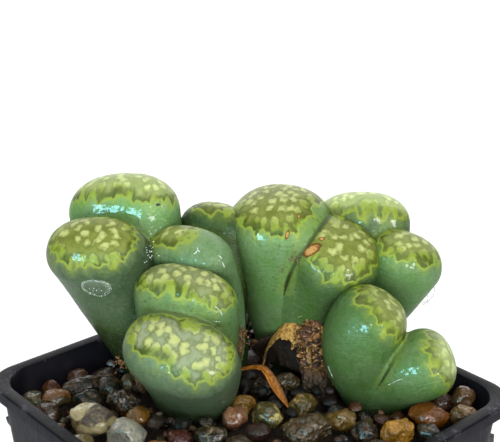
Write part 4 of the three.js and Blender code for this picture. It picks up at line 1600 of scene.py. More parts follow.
class Pebbles:
    """The named stones on the bed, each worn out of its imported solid."""

    VOXEL = 0.2
    SETTLE = 4
    SMOOTHEST = 0.2
    CRUMBLIEST = 0.5
    FLATS = 8
    WEAR = (0.78, 0.96)
    SWELL_RATE = 0.35
    SWELL_HEIGHT = 1.4
    PIT_RATE = 1.0
    PIT_SHIFT = 50
    EVENING = 3
    FULLER = 0.2

    def worn(self, points: Array, seed: int) -> Array:
        """Wears flats into a stone.

        Args:
            points: Its points.
            seed: The seed of the flats.

        Returns:
            The worn points.
        """
        random = np.random.default_rng(seed)
        middle = (points.min(axis=0) + points.max(axis=0)) / 2
        for facing in unit(random.normal(size=(self.FLATS, 3))):
            height = (points - middle) @ facing
            past = np.maximum(height - height.max() * random.uniform(*self.WEAR), 0)
            points = points - facing * past[:, None]
        return points

    def build(self) -> list[Piece]:
        """Builds and dresses each stone.

        Returns:
            The stones.
        """
        made = []
        for seed, (name, stone) in enumerate(STONES.items(), 1):
            node = f"pebble_{name}"
            piece = grown_from(node, f"stone_{name}", self.VOXEL, self.SETTLE)
            points, normals = points_of(piece), normals_of(piece)
            lumps = self.CRUMBLIEST if stone.pattern is Pattern.CRUMBLY else self.SMOOTHEST
            swells = rough(points, self.SWELL_RATE, seed, 2) * lumps * self.SWELL_HEIGHT
            pits = np.abs(rough(points, self.PIT_RATE, seed + self.PIT_SHIFT, 3)) * lumps
            set_points(piece, self.worn(points, seed) + normals * (swells - pits + self.FULLER)[:, None])
            smooth_out(piece, self.EVENING)
            made.append(finish(piece, stone.finish(f"stone_{name}", seed), [node]))
        return made


@dataclass(frozen=True)
class Bed:
    """The dark fines that the stones lie on.

    Attributes:
        side: Its side.
        top: Its mean level.
        depth: How thick it is.
        bumps: The height of its bumps.
    """

    side: float = 64.0
    top: float = LAYOUT.rim - 8.3
    depth: float = 1.6
    bumps: float = 0.7

    STEPS = 110

    def build(self) -> Piece:
        """Builds and dresses the bed.

        Returns:
            The bed.
        """
        grid = {"x_subdivisions": self.STEPS, "y_subdivisions": self.STEPS, "size": self.side}
        piece = add_primitive("bed", bpy.ops.mesh.primitive_grid_add, **grid)
        points = points_of(piece)
        points[:, 2] = self.top + rough(points, 0.4, 3, 4) * self.bumps
        set_points(piece, points)
        apply_modifier(piece, "SOLIDIFY", thickness=self.depth, offset=-1.0)
        s = Shader.of_material("bed")
        grains = s.noise(s.position(), 2.2, detail=4.0, roughness=0.7)
        fines = s.close(
            Base_Color=s.mix(grains.step(0.35, 0.7), srgb(24, 18, 14), srgb(64, 48, 36)),
            Roughness=0.7 + (grains - 0.5) * 0.3,
            Normal=s.bump(grains, 0.5),
        )
        return finish(piece, fines, ["grit"])


@dataclass(frozen=True)
class GravelSize:
    """One size of loose stone.

    Attributes:
        name: The name of its piece.
        count: How many stones are dropped.
        half: The smallest and largest half length in millimetres.
        ceiling: How high its stones may reach.
        tries: How many spots each stone rolls over before it settles in the lowest.
    """

    name: str
    count: int
    half: tuple[float, float]
    ceiling: float
    tries: int


GRAVEL_SIZES = (
    GravelSize("gravel_coarse", 300, (2.0, 3.3), LAYOUT.rim - 2.6, 30),
    GravelSize("gravel_middle", 300, (1.4, 2.0), LAYOUT.rim - 3.2, 20),
    GravelSize("gravel_fine", 560, (0.8, 1.4), LAYOUT.rim - 4.4, 24),
)

# The tones of the loose stones, and how often each is drawn.
GRAVEL_TONES = (
    (srgb(108, 64, 36), 3), (srgb(84, 66, 44), 4), (srgb(52, 54, 46), 3), (srgb(66, 72, 62), 2),
    (srgb(80, 66, 52), 2), (srgb(98, 90, 58), 2), (srgb(150, 140, 112), 1), (srgb(132, 106, 72), 2),
    (srgb(142, 88, 50), 2), (srgb(38, 34, 32), 2),
)


class Gravel:
    """The loose stones between the named ones, dropped on a field of heights so that they lie snugly."""

    CELL = 0.4
    HALF_SIDE = 32.0
    # The middle and reach of the painted shade under the clump, and the share of light left in it.
    HOLLOW = (2.0, 8.0, 0.0)
    HOLLOW_REACH = (12.0, 19.0)
    HOLLOW_LIGHT = 0.26
    SINK = 0.7
    BLOCKED = 99.0
    BODY_BAND = (55.5, 60.0)
    WIDTH = (0.7, 0.95)
    HEIGHT = (0.5, 0.8)
    TILT = 0.35
    FLATS = 8
    WEAR = (0.55, 0.86)
    TONE_RANGE = (0.28, 0.78)
    MARKS = srgb(168, 152, 128)
    EDGE_DEG = 38.0
    INSET = 0.95
    SEED = 5

    def __init__(self, bed: Piece, stones: Sequence[Piece], bodies: Sequence[str]) -> None:
        """Reads what the stones lie on and what they lie against.

        Args:
            bed: The bed, finished.
            stones: The named stones, finished.
            bodies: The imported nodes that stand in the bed.
        """
        self.random = np.random.default_rng(self.SEED)
        self.cells = int(2 * self.HALF_SIDE / self.CELL)
        axis = (np.arange(self.cells) + 0.5) * self.CELL - self.HALF_SIDE
        self.x, self.y = np.meshgrid(axis, axis, indexing="ij")
        self.height = np.full((self.cells, self.cells), Bed.top)
        for piece in (bed, *stones):
            self.raise_to(points_of(piece) / MM)
        for body in bodies:
            self.block(body)

    def raise_to(self, points: Array) -> None:
        """Raises the field to points that lie over it.

        Args:
            points: The points, in millimetres.
        """
        index = np.floor((points[:, :2] + self.HALF_SIDE) / self.CELL).astype(int)
        held = np.all((index >= 0) & (index < self.cells), axis=1)
        np.maximum.at(self.height, (index[held, 0], index[held, 1]), points[held, 2])

    def block(self, node: str) -> None:
        """Closes the field where a body stands in the bed.

        Args:
            node: The body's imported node.
        """
        points = points_of(frame["nodes"][node]) / MM
        low, high = self.BODY_BAND
        near = points[(points[:, 2] > low) & (points[:, 2] < high)][:, :2]
        if len(near) < 3:
            return
        outline = near[convex_hull_2d([Vector(p) for p in near])]
        inside = np.ones_like(self.x, bool)
        for (x0, y0), (x1, y1) in zip(outline, np.roll(outline, -1, axis=0)):
            inside &= (x1 - x0) * (self.y - y0) - (y1 - y0) * (self.x - x0) >= 0
        self.height[inside] = self.BLOCKED

    def rest(self, spot: Array, halves: Array, turn: float) -> tuple[float, tuple, Array]:
        """Lets a stone down at a spot.

        Args:
            spot: Where its middle is.
            halves: Its half sizes.
            turn: Its turn about the vertical.

        Returns:
            The level of its middle, the part of the field under it, and its profile there.
        """
        reach = int(halves[0] / self.CELL) + 1
        middle = np.floor((spot + self.HALF_SIDE) / self.CELL).astype(int)
        low, high = middle - reach, middle + reach + 1
        if low.min() < 0 or high.max() > self.cells:
            return self.BLOCKED, (), np.empty(0)
        part = (slice(low[0], high[0]), slice(low[1], high[1]))
        dx, dy = self.x[part] - spot[0], self.y[part] - spot[1]
        along = (dx * math.cos(turn) + dy * math.sin(turn)) / halves[0]
        across = (dy * math.cos(turn) - dx * math.sin(turn)) / halves[1]
        profile = halves[2] * np.sqrt(np.clip(1 - along**2 - across**2, 0, 1))
        under = profile > 0
        if not under.any():
            return self.BLOCKED, (), profile
        return float((self.height[part] + profile * self.SINK)[under].max()), part, profile

    def drop(self, size: GravelSize) -> list[tuple[Array, Array, float]]:
        """Drops the stones of one size.

        Args:
            size: The size.

        Returns:
            The middle, half sizes and turn of each stone that settled.
        """
        settled = []
        for _ in range(size.count):
            length = self.random.uniform(*size.half)
            width, height = self.random.uniform(*self.WIDTH), self.random.uniform(*self.HEIGHT)
            halves = length * np.array([1.0, width, height])
            turn = self.random.uniform(0, math.pi)
            reach = self.HALF_SIDE - length * self.INSET
            spots = self.random.uniform(-reach, reach, (size.tries, 2))
            rests = [self.rest(spot, halves, turn) for spot in spots]
            best = min(range(size.tries), key=lambda index: rests[index][0])
            level, part, profile = rests[best]
            if level + halves[2] > size.ceiling:
                continue
            top = np.where(profile > 0, level + profile, 0)
            self.height[part] = np.maximum(self.height[part], top)
            settled.append((np.array([*spots[best], level]), halves, turn))
        return settled

    def shape(self, ball: Array, halves: Array, turn: float) -> Array:
        """Forms one stone, a ball worn to a few flats, stretched, tilted and turned.

        Args:
            ball: The ball's points.
            halves: The stone's half sizes.
            turn: Its turn about the vertical.

        Returns:
            Its points, round its middle.
        """
        facing = unit(self.random.normal(size=(self.FLATS, 3)))
        height = self.random.uniform(*self.WEAR, self.FLATS)
        worn = (height / np.maximum(ball @ facing.T, height)).min(axis=1)
        points = ball * worn[:, None] * halves
        lean = self.random.uniform(-self.TILT, self.TILT)
        tilt = Matrix.Rotation(turn, 3, "Z") @ Matrix.Rotation(lean, 3, "X")
        return points @ np.array(tilt).T

    def build(self) -> None:
        """Builds a piece for each size."""
        ball, faces = ball_form(2)
        material = self.material()
        tones = np.array([tone for tone, _ in GRAVEL_TONES])
        odds = np.array([weight for _, weight in GRAVEL_TONES], float)
        for size in GRAVEL_SIZES:
            settled = self.drop(size)
            forms = [at + self.shape(ball, halves, turn) for at, halves, turn in settled]
            piece = swarm(size.name, forms, faces)
            drawn = self.random.choice(len(tones), len(settled), p=odds / odds.sum())
            shade = self.random.uniform(*self.TONE_RANGE, (len(settled), 1)) ** [1, 1, 1, 0]
            # Painted shade: stones near the hollow under the clump are darkened.
            deep = np.array([np.linalg.norm((at - LAYOUT.point(self.HOLLOW))[:2]) for at, _, _ in settled])
            light = soft_step(deep, *self.HOLLOW_REACH)
            shade[:, :3] *= self.HOLLOW_LIGHT + (1 - self.HOLLOW_LIGHT) * light[:, None]
            lots = self.random.uniform(0, 1, len(settled))
            for name, values in {"tone": tones[drawn] * shade, "light": light, "lot": lots}.items():
                write_attribute(piece, name, np.repeat(values, len(ball), axis=0))
            finish(piece, material, ["grit"], self.EDGE_DEG)

    def material(self) -> Material:
        """Builds the finish of the loose stones, a tone for each with bands or specks on some.

        Returns:
            The material.
        """
        s = Shader.of_material("gravel")
        tone = s.attribute("tone", "Color")
        lot = s.attribute("lot", "Fac")
        # Painted shade under the clump dims the marks and takes away gloss.
        light = s.attribute("light", "Fac")
        place = s.vector("ADD", s.position(), s.vector("SCALE", s.combined(1.0, 0.6, 0.3), scale=lot * 90.0))
        coarse = s.noise(place, 0.6, detail=3.0)
        fine = s.noise(place, 2.6, detail=4.0, roughness=0.65)
        marks = (coarse * 0.7 + fine * 0.3).step(0.5, 0.6) * lot.step(0.3, 0.6)
        color = s.mix(marks * (0.1 + light * 0.35), tone, self.MARKS)
        color = s.mix((fine - 0.3) * 1.4, s.mix(0.7, tone, BLACK), color)
        return s.close(
            Base_Color=color,
            Roughness=0.6 + (fine - 0.5) * 0.6 - (lot * 0.12 + light * 0.24),
            Normal=s.bump(fine + coarse, 0.16),
            Coat_Weight=fine.step(0.48, 0.55) * coarse.step(0.4, 0.5) * 0.6 * light,
            Coat_Roughness=0.12,
            Specular_IOR_Level=0.3,
        )


# Dry remains


@dataclass(frozen=True)
class DrySkin:
    """Old papery skin: the tone of its folds, of its flecks and of its dark hollows.

    Attributes:
        name: The material's name.
        base: Its main colour.
        fleck: The colour of its lighter flecks.
        hollow: The colour of its hollows, and the painted shade on its inner side.
        mould: The colour of its grey, rotten parts.
    """

    name: str
    base: Color
    fleck: Color
    hollow: Color
    mould: Color = srgb(74, 66, 56)

    def build(self) -> Material:
        """Builds the material.

        Returns:
            The material.
        """
        s = Shader.of_material(self.name)
        place = s.position()
        crumbly, inner, aged = s.parts(s.attribute("grain"))
        fibres = s.noise(s.vector("MULTIPLY", s.wander(place, 0.3, 1.5), (2.2, 2.2, 0.5)), 0.8, detail=3.0)
        crumbs = s.noise(place, 1.5, detail=4.0, roughness=0.65)
        color = s.mix(fibres.step(0.35, 0.62), self.base, self.fleck)
        spots = (crumbs + crumbly * 0.12).step(0.56, 0.66)
        color = s.mix(spots * (0.35 + crumbly * 0.6), color, self.hollow)
        color = s.mix(aged * 0.85, color, s.mix(fibres.step(0.35, 0.62), self.mould, self.hollow))
        # Painted shade: the inner side and the shaded strips darken towards the hollow colour and black.
        color = s.mix(inner, color, s.mix(inner.step(0.6, 0.9) * 0.7, self.hollow, BLACK))
        return s.close(
            Base_Color=color,
            Roughness=0.62 + (crumbs - 0.5) * 0.4,
            Normal=s.bump(crumbs * 1.2 + fibres, 0.25),
            Specular_IOR_Level=0.2,
        )


LOOK_AHEAD = 0.05

DRY_GOLD = DrySkin("dry_gold", srgb(138, 102, 44), srgb(190, 154, 80), srgb(42, 28, 10))
DRY_BROWN = DrySkin("dry_brown", srgb(86, 58, 26), srgb(124, 88, 42), srgb(38, 26, 9))
DRY_ORANGE = DrySkin("dry_orange", srgb(138, 78, 12), srgb(182, 118, 36), srgb(58, 34, 12))


def smooth_course(knots: Array, run: Array) -> Array:
    """A smooth course through knots.

    Args:
        knots: The knots.
        run: How far along each point lies, where 1 is one knot on.

    Returns:
        The points.
    """
    run = np.clip(run, 0, len(knots) - 1)
    padded = np.concatenate([[2 * knots[0] - knots[1]], knots, [2 * knots[-1] - knots[-2]]])
    first = np.minimum(run.astype(int), len(knots) - 2)
    t = (run - first)[:, None]
    a, b, c, d = (padded[first + step] for step in range(4))
    return 0.5 * (2 * b + (c - a) * t + (2 * a - 5 * b + 4 * c - d) * t**2 + (3 * b - a - 3 * c + d) * t**3)


def along_course(course: Sequence[Triple], share: Array) -> tuple[Array, Array, Array]:
    """Follows a smooth course through points of the clump's frame.

    Args:
        course: The points that it passes.
        share: The shares of it to look at.

    Returns:
        The place, the direction ahead and the run at each share.
    """
    knots = LAYOUT.points(course)
    run = share * (len(knots) - 1)
    ahead = smooth_course(knots, run + LOOK_AHEAD) - smooth_course(knots, run - LOOK_AHEAD)
    return smooth_course(knots, run), unit(ahead), run


def laid_sheet(name: str, steps: tuple[int, int]) -> tuple[Piece, Array, Array]:
    """Adds a flat grid to be laid over a curved form.

    Args:
        name: The object's name.
        steps: How many faces it has each way.

    Returns:
        The grid, and the share of its length and of its width at each point.
    """
    grid = {"x_subdivisions": steps[0], "y_subdivisions": steps[1], "size": 2.0}
    piece = add_primitive(name, bpy.ops.mesh.primitive_grid_add, **grid)
    flat = points_of(piece)
    return piece, (flat[:, 0] + 1) / 2, (flat[:, 1] + 1) / 2


@dataclass(frozen=True)
class Strip:
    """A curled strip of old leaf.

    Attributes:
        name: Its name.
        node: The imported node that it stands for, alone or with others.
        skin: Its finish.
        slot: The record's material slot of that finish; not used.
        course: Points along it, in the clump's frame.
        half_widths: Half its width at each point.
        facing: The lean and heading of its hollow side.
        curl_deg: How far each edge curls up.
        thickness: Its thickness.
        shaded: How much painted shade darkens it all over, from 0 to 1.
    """

    name: str
    node: str
    skin: DrySkin
    slot: str
    course: tuple[Triple, ...]
    half_widths: tuple[float, ...]
    facing: tuple[float, float] = (35, -60)
    curl_deg: float = 50
    thickness: float = 0.3
    shaded: float = 0.0

    STEPS = (70, 12)
    RIPPLE = 0.12
    EDGE_SHADE = 0.8

    def build(self) -> Piece:
        """Builds and dresses the strip.

        Returns:
            The strip.
        """
        piece, length, width = laid_sheet(self.name, self.STEPS)
        at, ahead, run = along_course(self.course, length)
        hollow = square_to(np.broadcast_to(LAYOUT.leaning(*self.facing), at.shape), ahead)
        side = np.cross(ahead, hollow)
        half = np.interp(run, np.arange(len(self.course)), self.half_widths)
        curl = math.radians(self.curl_deg) * (0.8 + 0.3 * np.sin(run * 2.1))
        bend = (2 * width - 1) * curl
        across = np.sin(bend) / curl * half
        lift = (1 - np.cos(bend)) / curl * half
        ripple = rough(at + side * across[:, None], 0.9, 9, 2) * self.RIPPLE
        set_points(piece, at + side * across[:, None] + hollow * (lift + ripple)[:, None])
        apply_modifier(piece, "SOLIDIFY", thickness=self.thickness, offset=0.0)
        grain = np.zeros((len(piece.data.vertices), 3))
        # Darker towards one edge by EDGE_SHADE, and all over by the painted shade of its shaded share.
        grain[:, 1] = np.tile(np.maximum((1 - width) ** 2 * self.EDGE_SHADE, self.shaded), 2)
        write_attribute(piece, "grain", grain)
        return finish(piece, self.skin.build(), [self.node])


STRIPS = (
    Strip(
        "dry_strip_skin",
        "dry_strip",
        DRY_ORANGE,
        "dry_strip_skin",
        (
            (-1.9, 8.6, -1.6), (-0.2, 8, -0.8), (1.2, 7, 0), (2.7, 6, 0.3),
            (3.7, 5, -0.4), (5, 3.5, -1.9), (6.3, 2, -3.5), (7.5, 0.9, -4.9),
        ),
        (0.3, 0.4, 0.5, 0.7, 0.95, 1.0, 0.75, 0.2),
    ),
    # A dark sheet of painted shade inside the hood.
    Strip(
        "sheath_lining",
        "dry_sheath",
        DRY_BROWN,
        "dry_skin",
        ((2.6, 17.6, -3), (4.8, 16.3, -1.2), (7, 15.4, -0.8), (9.4, 14.9, -1), (12, 14.4, -2)),
        (3.2, 3.6, 3.8, 3.8, 3.4),
        (90, -75),
        curl_deg=15,
        shaded=0.95,
    ),
    Strip(
        "sheath_edge_right",
        "dry_sheath",
        DRY_GOLD,
        "dry_skin",
        ((14, 12.4, 6), (14.8, 11.4, 3.4), (15.5, 10.3, 0.4), (16.1, 9.4, -2.6), (16.5, 8.8, -5.2)),
        (0.3, 0.5, 0.6, 0.5, 0.3),
        (80, -80),
    ),
    Strip(
        "sheath_edge_middle",
        "dry_sheath",
        DRY_GOLD,
        "dry_skin",
        ((11.3, 10.9, 3), (11.6, 9.9, 1.6), (11.7, 9.4, 0.2), (12.1, 9.2, -1.2)),
        (0.3, 0.6, 0.5, 0.3),
        (80, -110),
    ),
)


@dataclass(frozen=True)
class Hood:
    """The papery hood of the dead head: a thin sheet from its curled front rim to its back.

    Attributes:
        front: Points along its front rim, from its left foot to its right one, in the clump's frame.
        back: Points along its back.
        axis: The middle of the hollow below the front and below the back.
        bulge: How far it bulges between front and back.
        thickness: Its thickness.
    """

    front: tuple[Triple, ...] = (
        (3.0, 13.8, -4.4), (3.3, 13.6, -2.2), (3.8, 13.3, 0.1), (4.8, 12.8, 1.6), (6.3, 12.4, 2.1),
        (7.9, 12.2, 1.6), (9.2, 12, 0.6), (10.4, 11.6, -0.6), (11.4, 11, -3.4), (12.2, 10.6, -7),
    )
    back: tuple[Triple, ...] = (
        (3.6, 18.6, -7), (4.2, 17.6, -2.6), (5.4, 16.8, 1.8), (7, 16.4, 4.6), (8.7, 16, 5.6),
        (10.4, 15.6, 5.9), (12, 15, 5.6), (13.4, 14.2, 4.4), (14.4, 13.4, 0), (15, 13, -7),
    )
    axis: tuple[Triple, Triple] = ((7, 12, -6), (10, 15.5, -5))
    bulge: float = 0.7
    thickness: float = 0.28

    STEPS = (170, 50)
    RIM_CURL = 0.5
    RIM_SHARE = 0.16
    RAGGED = 0.16
    RIPPLE = 0.2
    CRUMBLE = 0.5

    def build(self) -> Piece:
        """Builds and dresses the hood.

        Returns:
            The hood.
        """
        piece, length, depth = laid_sheet("hood", self.STEPS)
        front, back = LAYOUT.points(self.front), LAYOUT.points(self.back)
        run = length * (len(front) - 1)
        rim, end = smooth_course(front, run), smooth_course(back, run)
        ragged = (rough(rim, 0.8, 4, 4) + 0.3) * self.RAGGED
        depth = depth + (1 - depth) * ragged
        low, high = LAYOUT.points(self.axis)
        at = rim + (end - rim) * depth[:, None]
        away = unit(at - (low + (high - low) * depth[:, None]))
        curl = np.clip(1 - depth / self.RIM_SHARE, 0, 1) ** 2 * self.RIM_CURL
        crumbly = soft_step(length, 0.45, 0.6)
        swell = rough(at, 0.35, 1, 2) * self.RIPPLE + rough(at, 1.2, 6, 4) * (0.1 + crumbly * self.CRUMBLE)
        lifted = self.bulge * np.sin(math.pi * depth) + curl + swell
        set_points(piece, at + away * lifted[:, None])
        count = len(length)
        apply_modifier(piece, "SOLIDIFY", thickness=self.thickness, offset=-1.0)
        # Painted shade: the hood's inner face is marked to be darkened.
        inner = np.arange(len(piece.data.vertices)) >= count
        grain = np.stack([np.tile(crumbly, 2), inner.astype(float), np.zeros(2 * count)], axis=-1)
        write_attribute(piece, "grain", grain)
        return finish(piece, DRY_GOLD.build(), ["dry_sheath"])


@dataclass(frozen=True)
class Stump:
    """The crumbled rest of the dead head: a lumpy column and the flakes that stick to it.

    Attributes:
        levels: The middle of the column in the clump's frame, from its foot up.
        radii: Its radius at each level.
        flakes: How many flakes stick to it, and to the crumbled side of the hood.
    """

    levels: tuple[Triple, ...] = (
        (14.2, 10, -8.6), (13.8, 10.4, -5.8), (13, 11.4, -2.4),
        (12.4, 12.4, 1.2), (12.2, 13.2, 4.6), (12.4, 13.8, 7),
    )
    radii: tuple[float, ...] = (3.4, 3.6, 3.2, 2.8, 2.3, 1.2)
    flakes: int = 620

    LUMPS = 0.9
    CRUMBS = 0.4
    CRUMBLY_RISE = (-4.0, 0.0)
    AGED_RISE = (-3.5, -1.0)
    CRUMBLED_FROM = (8.5, 1.5)
    FLAKED_FROM = -1.5
    HOOD_STEP = 6
    MIDDLE = 3
    FLAKE = (0.25, 0.65)
    FLAKE_WIDTH = (0.4, 0.9)
    FLAKE_DEPTH = (0.1, 0.3)
    DISORDER = 0.45
    STAND_OFF = 0.2
    SEED = 12
    TONES = (
        srgb(176, 128, 66), srgb(206, 162, 96), srgb(188, 140, 76), srgb(104, 64, 52),
        srgb(78, 46, 44), srgb(52, 32, 28), srgb(140, 96, 58),
    )

    def build(self, hood: Piece) -> None:
        """Builds and dresses the column and its flakes.

        Args:
            hood: The hood, finished.
        """
        sphere = Sphere("stump", 120, 110)
        run = sphere.share * (len(self.levels) - 1)
        middle = smooth_course(LAYOUT.points(self.levels), run)
        radius = np.interp(run, np.arange(len(self.radii)), self.radii)
        level = np.stack([np.cos(sphere.angle), np.sin(sphere.angle), np.zeros(len(run))], axis=-1)
        points = middle + level * (radius * np.sqrt(sphere.opening(True)))[:, None]
        folds = np.abs(rough(points * [1, 1, 0.4], 0.5, 2, 3))
        points = points + level * (sphere.opening(True) * (rough(points, 1.3, 8, 4) * self.CRUMBS))[:, None]
        points = points - level * (sphere.opening(True) * folds * self.LUMPS)[:, None]
        set_points(sphere.piece, points)
        grain = np.zeros((len(points), 3))
        grain[:, 0] = soft_step(points[:, 2], *(LAYOUT.rim + rise for rise in self.CRUMBLY_RISE))
        grain[:, 2] = 1 - soft_step(points[:, 2], *(LAYOUT.rim + rise for rise in self.AGED_RISE))
        write_attribute(sphere.piece, "grain", grain)
        hood_points = points_of(hood) / MM
        across, above = self.CRUMBLED_FROM
        right = hood_points[:, :2] @ LAYOUT.level(0)[:2] > across
        crumbled = hood_points[right & (hood_points[:, 2] > LAYOUT.rim + above)]
        upper = points[points[:, 2] > LAYOUT.rim + self.FLAKED_FROM]
        spots = np.concatenate([upper, crumbled[:: self.HOOD_STEP]])
        self.stick_flakes(spots, LAYOUT.point(self.levels[self.MIDDLE]))
        finish(sphere.piece, DRY_BROWN.build(), ["dry_sheath"])

    def stick_flakes(self, points: Array, middle: Array) -> None:
        """Sticks flakes to points, turned at random and a little out of the surface.

        Args:
            points: Where flakes may stick.
            middle: The point that they stand away from.
        """
        random = np.random.default_rng(self.SEED)
        ball, faces = ball_form(1)
        spots = points[random.choice(len(points), self.flakes)]
        forms = []
        for spot in spots:
            length = random.uniform(*self.FLAKE)
            width, depth = random.uniform(*self.FLAKE_WIDTH), random.uniform(*self.FLAKE_DEPTH)
            away = unit(spot - middle)
            turn = turn_to(away + random.normal(size=3) * self.DISORDER)
            out = away * random.uniform(0, self.STAND_OFF)
            forms.append(spot + out + (ball * (length * np.array([1, width, depth]))) @ turn.T)
        piece = swarm("sheath_flakes", forms, faces)
        tones = np.array(self.TONES)[random.choice(len(self.TONES), self.flakes)]
        write_attribute(piece, "tone", np.repeat(tones, len(ball), axis=0))
        s = Shader.of_material("flakes")
        grains = s.noise(s.position(), 3.0, detail=3.0)
        color = s.mix((grains - 0.35) * 0.9, s.attribute("tone", "Color"), srgb(30, 20, 18))
        dry = s.close(Base_Color=color, Roughness=0.6 + (grains - 0.5) * 0.4, Normal=s.bump(grains, 0.2))
        finish(piece, dry, ["dry_sheath"], FACETED)


class DryRemains:
    """The old sheath, its strips and the flakes that still clasp two heads."""

    COLLARS = ("dry_collar_left", "dry_collar_right", "dry_collar_centre")
    VOXEL = 0.18
    SETTLE = 3
    CRUMBLE = 0.3
    FULLER = 0.3
    GRAIN = (0.8, 0.0, 0.0)

    def build(self) -> None:
        """Builds and dresses each piece."""
        brown = DRY_BROWN.build()
        for seed, node in enumerate(self.COLLARS, 1):
            piece = grown_from(node, f"{node}_skin", self.VOXEL, self.SETTLE)
            points, normals = points_of(piece), normals_of(piece)
            crumbs = rough(points, 0.7, seed, 2) + rough(points, 2.4, seed + 9, 3) * 0.5
            set_points(piece, points + normals * (crumbs * self.CRUMBLE + self.FULLER)[:, None])
            write_attribute(piece, "grain", np.tile(self.GRAIN, (len(points), 1)))
            finish(piece, brown, [node])
        for strip in STRIPS:
            strip.build()
        Stump().build(Hood().build())


# Trifles


@dataclass(frozen=True)
class Drop:
    """A clear drop of gel with bubbles in it, which has run down a leaf.

    Attributes:
        place: Its middle on the leaf, in the clump's frame.
        outward: The direction in which it stands out.
        halves: Half its width, half its height and how far it stands out.
        bubbles: How many bubbles it holds.
    """

    place: Triple = (-27.9, 7.2, 16.2)
    outward: Triple = (-0.12, -0.9, -0.4)
    halves: tuple[float, float, float] = (2.9, 2.6, 1.0)
    bubbles: int = 20

    BUBBLE = (0.05, 0.13)
    WAVES = 0.14
    SEED = 4

    def build(self) -> None:
        """Builds and dresses the drop and its bubbles."""
        random = np.random.default_rng(self.SEED)
        out = unit(LAYOUT.point(self.outward) - LAYOUT.point((0, 0, 0)))
        upright = square_to(np.array([0.0, 0.0, 1.0]), out)
        axes = np.stack([np.cross(upright, out), upright, out]) * np.array(self.halves)[:, None]
        ball_size = {"segments": 48, "ring_count": 32, "radius": 1.0}
        drop = add_primitive("gel_drop", bpy.ops.mesh.primitive_uv_sphere_add, **ball_size)
        ball = points_of(drop)
        ball[:, 0] *= 1 - 0.25 * soft_step(-ball[:, 1], 0.1, 1.2)
        points = LAYOUT.point(self.place) + ball @ axes
        set_points(drop, points + unit(ball @ axes) * (rough(points, 0.8, 2, 3) * self.WAVES)[:, None])
        # Painted reflection: the drop is paler and less clear towards its outline.
        write_attribute(drop, "painted_edge_sheen", soft_step(np.linalg.norm(ball[:, :2], axis=1), 0.7, 0.95))
        s = Shader.of_material("gel")
        froth = s.noise(s.position(), 2.4, detail=3.0)
        painted_edge_sheen = s.attribute("painted_edge_sheen", "Fac")
        clear = s.close(
            Base_Color=s.mix(froth, srgb(150, 178, 150), srgb(214, 226, 212)),
            Alpha=0.08 + froth.step(0.5, 0.8) * 0.2 + painted_edge_sheen * 0.3,
            Roughness=0.1 + froth * 0.1,
            Normal=s.bump(froth, 0.25),
            Coat_Weight=1.0,
            Coat_Roughness=0.04,
        )
        finish(drop, clear)
        grain, faces = ball_form(2)
        spots = unit(random.normal(size=(self.bubbles, 3)) + [0, -0.3, 1.2])
        spots = spots * random.uniform(0.75, 0.98, (self.bubbles, 1))
        sizes = random.uniform(*self.BUBBLE, self.bubbles)
        forms = [LAYOUT.point(self.place) + spot @ axes + grain * size for spot, size in zip(spots, sizes)]
        s = Shader.of_material("bubble")
        film = s.noise(s.position(), 3.0)
        white = s.mix(film, srgb(180, 200, 190), srgb(240, 246, 242))
        foam = s.close(Base_Color=white, Alpha=0.5 + film * 0.4, Roughness=0.1)
        finish(swarm("gel_bubbles", forms, faces), foam)


@dataclass(frozen=True)
class Litter:
    """Small bits that lie on the leaves, or pale specks that paint glints of light on hairs.

    Attributes:
        name: Its name.
        place: The middle of the patch, in the clump's frame.
        spread: How far the bits lie from it.
        size: The smallest and largest half length of a bit.
        count: How many bits there are.
        tones: Their colours.
    """

    name: str
    place: Triple
    spread: float
    size: tuple[float, float]
    count: int
    tones: tuple[Color, Color]

    WIDTH = (0.4, 0.8)
    DEPTH = (0.3, 0.6)

    def build(self, seed: int) -> None:
        """Builds and dresses the bits.

        Args:
            seed: The seed of their places.
        """
        random = np.random.default_rng(seed)
        ball, faces = ball_form(2)
        forms = []
        for _ in range(self.count):
            spot = LAYOUT.point(self.place) + random.normal(size=3) * self.spread
            length = random.uniform(*self.size)
            width, depth = random.uniform(*self.WIDTH), random.uniform(*self.DEPTH)
            turn = turn_to(random.normal(size=3))
            forms.append(spot + (ball * (length * np.array([1, width, depth]))) @ turn.T)
        s = Shader.of_material(self.name)
        grain = s.noise(s.position(), 2.0, detail=2.0)
        tone = s.mix(grain, *self.tones)
        dry = s.close(Base_Color=tone, Roughness=0.4 + grain * 0.3, Normal=s.bump(grain, 0.1))
        finish(swarm(self.name, forms, faces), dry, edge_deg=FACETED)


LITTER = (
    Litter("seed_speck", (-17.3, 17.1, 28.6), 0.12, (0.3, 0.45), 3, (srgb(20, 14, 10), srgb(44, 32, 22))),
    # Painted highlights: pale specks that stand for glints on hairs.
    Litter("painted_glint_specks", (-18.3, 10, 22), 0.8, (0.06, 0.16), 34, (srgb(190, 214, 214), srgb(244, 250, 250))),
    Litter("leaf_speck", (-4.5, -6.1, 0.5), 0.1, (0.2, 0.3), 2, (srgb(40, 32, 20), srgb(66, 50, 30))),
    Litter("crease_dust", (8.1, 12.2, 20.6), 0.7, (0.1, 0.3), 34, (srgb(74, 58, 32), srgb(132, 112, 60))),
    Litter("crumbs_left", (-24.2, 10.8, -1.4), 0.65, (0.15, 0.4), 44, (srgb(92, 56, 24), srgb(176, 124, 66))),
    Litter("crumbs_right", (-1.5, 11.7, 4.2), 0.8, (0.15, 0.42), 50, (srgb(84, 46, 18), srgb(150, 92, 44))),
    Litter("crease_dust_low", (6.2, 12.6, 17.6), 0.5, (0.1, 0.22), 16, (srgb(74, 58, 32), srgb(112, 92, 50))),
)


